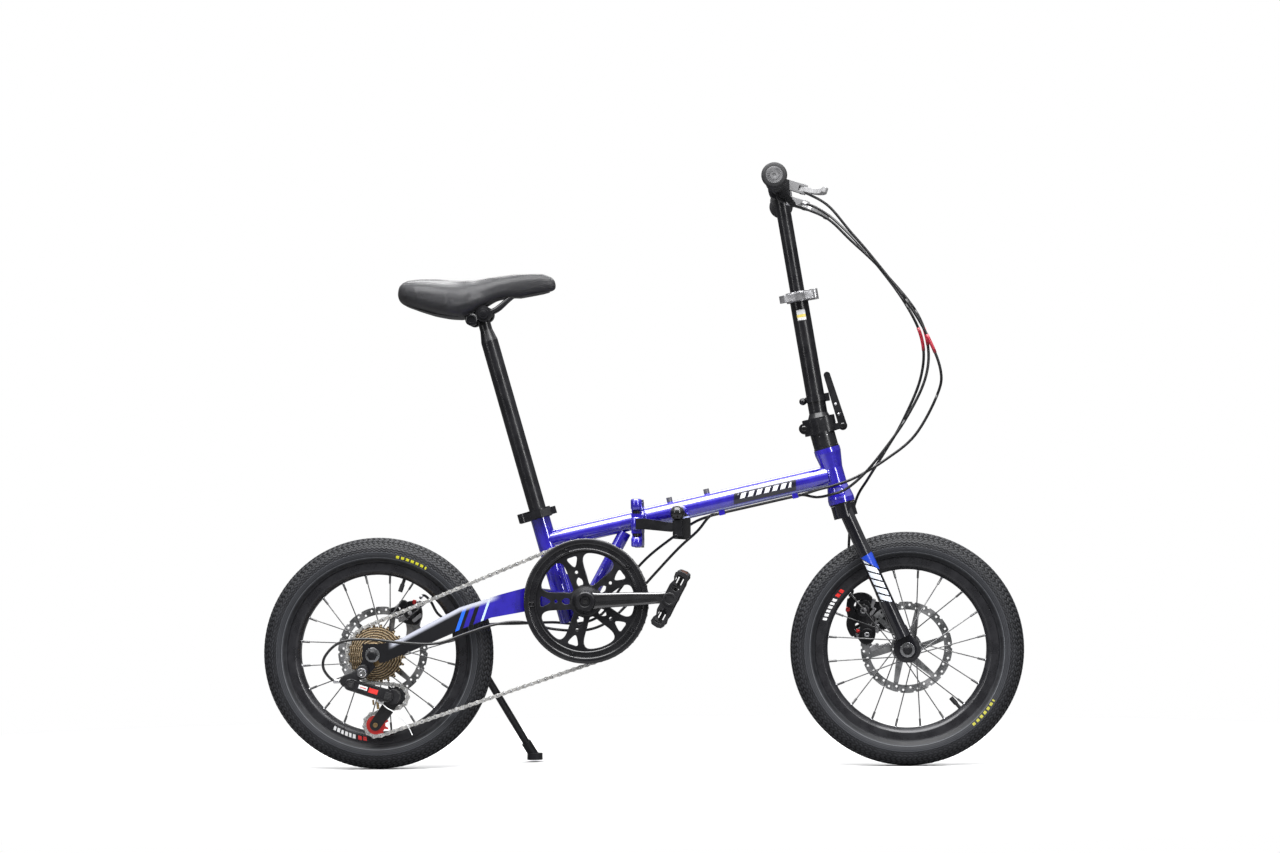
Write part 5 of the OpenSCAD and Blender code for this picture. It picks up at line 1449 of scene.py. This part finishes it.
def cable_trim():
    """Red sleeves on the hanging runs and silver ends."""
    for name, points, first, last in (("a", REAR_BRAKE, 48, 53), ("b", SHIFT, 44, 49),
                                      ("c", FRONT_BRAKE, 37, 43)):
        sleeve = piece("cable_sleeve_" + name, None, "sleeve_red",
                       sweep(spline(points, CABLE_STEPS)[first:last], 2.95, 14))
        bend(sleeve, "handlepost", "fork", *span(points, 5, 8))
    for name, points, r in (("brake_r", REAR_BRAKE, 3.6), ("brake_l", FRONT_BRAKE, 3.6),
                            ("shift", SHIFT, 3.4)):
        piece(f"ferrule_{name}_top", "upper_post", "alloy_silver",
              sweep(spline(points, CABLE_STEPS)[0:4], [r, r * 1.05, r, r * 0.8], 14), sharp=40)
    for name, points, body in (("brake_r", REAR_BRAKE, "rear_frame"),
                               ("brake_l", FRONT_BRAKE, "fork"),
                               ("shift", SHIFT, "rear_frame")):
        piece(f"ferrule_{name}_end", body, "alloy_silver",
              sweep(spline(points, CABLE_STEPS)[-6:-1], [2.6, 3.1, 3.1, 3.1, 3.1], 14),
              sharp=40)


hinge_trim()
wrap("post_label_white", "handlepost", "label_white", POST_BASE, POST_LEAN, (186, 204),
     16.12, -118, -62)
wrap("post_label_yellow", "handlepost", "label_yellow", POST_BASE, POST_LEAN, (191, 196),
     16.2, -118, -62)
wrap("post_ring_line", "fork", "alloy_silver", HEAD_BASE, HEAD_LEAN, (120, 121.2), 21.62,
     -179, 180)
cable_trim()


# ---------------------------------------------------------------- grips, axle ends, bolts
def grip_profile():
    """Collar, ribs and flared end: radius, y."""
    profile = [(11.3, 164), (16.4, 164), (17.4, 165), (17.4, 167.4), (16.2, 168.6), (15.2, 171)]
    y = 172.0
    while y < 266:
        profile += [(15.2, y), (15.9, y + 0.9), (15.9, y + 3.2), (15.2, y + 4.1)]
        y += 5.2
    return profile + [(15.6, 266), (17.4, 269), (20.2, 272), (21.4, 275), (21.6, 279),
                      (20.6, 281.6), (18.4, 282.8), (14.2, 283)]


GRIP_END = [(14.2, 283), (13.4, 283.9), (12.2, 283.6), (10.6, 283.8), (9.4, 283.3),
            (8, 283.7), (5, 283.5), (3, 283.2), (2.4, 282), (0.01, 282)]


def grips():
    x, z = BAR[0] - 2.2, BAR[2] - 3.0
    for side, name in ((1, "left"), (-1, "right")):
        outward = (0, side, 0)
        piece("grip_" + name, "upper_post", "grip_rubber",
              cup((x, 0, z), outward, grip_profile(), 60), sharp=60,
              stands_for="grips" if side > 0 else None, slot="grip_rubber")
        piece("grip_end_" + name, "upper_post", "grip_end",
              cup((x, 0, z), outward, GRIP_END, 40), sharp=40)
        ribs = []
        for k in range(24):
            a = rad(15 * k)
            out = np.array([math.cos(a), 0, math.sin(a)])
            ribs.append(box(np.array([x, side * 283.8, z]) + out * 9.6, out * 2.6,
                            (0, 0.3, 0), np.cross(out, [0, 1, 0]) * 0.5, 0.1))
        piece("grip_end_ribs_" + name, "upper_post", "grip_end", *ribs, sharp=30)


def axle_ends():
    for tag, axle, y, body in (("front", FRONT_AXLE, 63.2, "fork"),
                               ("rear", REAR_AXLE, 79.4, "rear_frame")):
        for side in (-1, 1):
            name, outward = f"{tag}_{side_letter(side)}", (0, side, 0)
            piece("axle_cap_" + name, body, "alloy_black",
                  cup((axle[0], side * y, axle[2]), outward,
                      [(8.2, -1.2), (8.2, 0.2), (6.6, 1.6), (5.2, 1.8), (4.9, 2.6),
                       (4.4, 3.2), (0.01, 3.2)], 28), sharp=30)
            piece("axle_washer_" + name, body, "steel_satin",
                  turned((axle[0], side * (y - 7.4), axle[2]), outward,
                         [(9, -0.2), (12.4, 0), (12.6, 0.5), (12.6, 1.1), (9, 1.3)], 36),
                  sharp=30)
    for axle, places, body in ((FRONT_AXLE, (-26.5, 14), "front_wheel"),
                               (REAR_AXLE, (-12, 12), "rear_wheel")):
        profile = [(13.2, -0.6), (14.6, 0), (14.6, 1.2), (13.2, 1.8)]
        piece(body + "_hub_rings", body, "alloy_silver",
              *[turned((axle[0], y, axle[2]), LEFT, profile, 40) for y in places], sharp=30)


def small_bolts():
    """Rivets on the post lever, bolts on the post hinge, caps on the saddle clamp."""
    piece("post_lever_rivets", "post_latch", "alloy_silver",
          *[cup(lean(POST_BASE, HINGE_LEAN, (36.5 - z * 0.09, -6.4, z)), RIGHT,
                [(2.4, -0.6), (2.4, 0.5), (1.5, 1.1), (0.01, 1.1)], 16) for z in (12, 30)],
          sharp=30)
    piece("post_hinge_bolts", "fork", "ball_black",
          cup(lean(POST_BASE, HINGE_LEAN, (38, -14, -9)), RIGHT,
              [(4.6, -1), (4.6, 0.8), (3.4, 1.8), (0.01, 1.8)], 22),
          cup(lean(POST_BASE, HINGE_LEAN, (-29, -26, 0)), RIGHT,
              [(4.8, -2.2), (4.8, 0.4), (3.4, 1.4), (0.01, 1.4)], 22), sharp=30)
    caps = []
    for side in (-1, 1):
        caps += [cup((-289, side * 28, 785), (0, side, 0),
                     [(11, -0.5), (10.6, 1.6), (8.8, 2.6), (6, 2.8), (5.4, 1.2),
                      (0.01, 1.2)], 30),
                 cup((-268, side * 31, 795), (0, side, 0),
                     [(6, -0.6), (5.6, 0.8), (4, 1.2), (0.01, 1.2)], 24)]
    piece("saddle_clamp_caps", "saddle", "paint_black", *caps, sharp=35)


grips()
axle_ends()
small_bolts()


# ---------------------------------------------------------------- stage
def emission(tree, strength):
    node = tree.nodes.new("ShaderNodeEmission")
    node.inputs[0].default_value = (1, 1, 1, 1)
    node.inputs[1].default_value = strength
    return node.outputs[0]


def mix_shader(tree, factor, first, second):
    node = tree.nodes.new("ShaderNodeMixShader")
    for i, socket in enumerate((factor, first, second)):
        tree.links.new(socket, node.inputs[i])
    return node.outputs[0]


def floor():
    """A pale floor that fades to white far out and is clear from below."""
    mesh = bpy.data.meshes.new("floor")
    s = 30
    mesh.from_pydata([(-s, -s, 0), (s, -s, 0), (s, s, 0), (-s, s, 0)], [], [(0, 1, 2, 3)])
    ground = bpy.data.objects.new("floor", mesh)
    bpy.context.scene.collection.objects.link(ground)
    ground.location.z = -0.0005
    material = bpy.data.materials.new("floor_pale")
    material.use_nodes = True
    tree = material.node_tree
    nodes = tree.nodes
    shader = nodes["Principled BSDF"]
    shader.inputs["Roughness"].default_value = 0.75
    shader.inputs["Specular IOR Level"].default_value = 0.15
    x, y, _ = object_xyz(tree)
    far = (x * x + (y * y) * 2.2).op("SQRT").soft(850, 1900)
    # the camera sees a brighter floor than the light that bounces off it
    seen = nodes.new("ShaderNodeLightPath").outputs["Is Camera Ray"]
    colour = mix_colour(tree, Value(tree, seen), (0.22, 0.22, 0.225), (0.9, 0.9, 0.905))
    tree.links.new(colour, shader.inputs["Base Color"])
    glow = mix_shader(tree, seen, emission(tree, 0.16), emission(tree, 1.0))
    top = mix_shader(tree, far.socket, shader.outputs[0], glow)
    below = nodes.new("ShaderNodeNewGeometry").outputs["Backfacing"]
    clear = nodes.new("ShaderNodeBsdfTransparent").outputs[0]
    tree.links.new(mix_shader(tree, below, top, clear), nodes["Material Output"].inputs[0])
    mesh.materials.append(material)


def world():
    """White to the camera; to everything else, light from above."""
    sky = bpy.data.worlds.new("soft")
    bpy.context.scene.world = sky
    sky.use_nodes = True
    tree = sky.node_tree
    background = tree.nodes["Background"]
    coords = tree.nodes.new("ShaderNodeTexCoord")
    split = tree.nodes.new("ShaderNodeSeparateXYZ")
    tree.links.new(coords.outputs["Generated"], split.inputs[0])
    height = Value(tree, split.outputs[2])
    seen = Value(tree, tree.nodes.new("ShaderNodeLightPath").outputs["Is Camera Ray"])
    soft = height.soft(-0.25, 0.15) * 0.05 + height.soft(0.2, 0.6) * 0.9 + 0.04
    strength = soft * (seen * -1 + 1) + seen * 1.0
    background.inputs[0].default_value = (1, 1, 1, 1)
    tree.links.new(strength.socket, background.inputs[1])


# name, place and target in metres, width, height, watts
LIGHTS = [("key", (-0.1, -1.2, 3.1), (0, 0, 0.5), 3.6, 2.4, 245),
          ("strip", (2.2, -2.8, 1.6), (0.1, 0, 0.5), 0.4, 2.6, 42),
          ("strip2", (-2.6, -2.6, 1.4), (-0.1, 0, 0.5), 0.3, 2.2, 16),
          ("back", (0.3, 2.4, 2.8), (0, 0, 0.5), 3.2, 0.9, 60)]


def lights():
    for name, place, target, width, height, watts in LIGHTS:
        light = bpy.data.lights.new(name, "AREA")
        light.shape = "RECTANGLE"
        light.size = width
        light.size_y = height
        light.energy = watts
        lamp = bpy.data.objects.new(name, light)
        bpy.context.scene.collection.objects.link(lamp)
        lamp.location = place
        aim = Vector(target) - Vector(place)
        lamp.rotation_euler = aim.to_track_quat("-Z", "Y").to_euler()


# the camera looks across from the right side
CAMERA_TURN, CAMERA_TILT, CAMERA_ROLL = rad(3.7621), rad(-1.3728), rad(-0.6957)
CAMERA_TARGET, CAMERA_DISTANCE = np.array([2.5, 0, 594.4]), 5403
LENS = 86.80640625


def camera():
    turn, tilt, roll = CAMERA_TURN, CAMERA_TILT, CAMERA_ROLL
    ahead = np.array([-math.sin(turn) * math.cos(tilt), math.cos(turn) * math.cos(tilt),
                      -math.sin(tilt)])
    level = np.array([math.cos(turn), math.sin(turn), 0])
    upright = np.cross(level, ahead)
    right = level * math.cos(roll) + upright * math.sin(roll)
    up = -level * math.sin(roll) + upright * math.cos(roll)
    place = (CAMERA_TARGET - ahead * CAMERA_DISTANCE) * MM
    data = bpy.data.cameras.new("camera")
    viewer = bpy.data.objects.new("camera", data)
    scene = bpy.context.scene
    scene.collection.objects.link(viewer)
    rows = [(right[i], up[i], -ahead[i], place[i]) for i in range(3)]
    viewer.matrix_world = Matrix((*rows, (0, 0, 0, 1)))
    data.sensor_width = 36
    data.lens = LENS
    data.clip_end = 100
    scene.camera = viewer


floor()
world()
lights()
bpy.context.scene.view_settings.view_transform = "Standard"
camera()
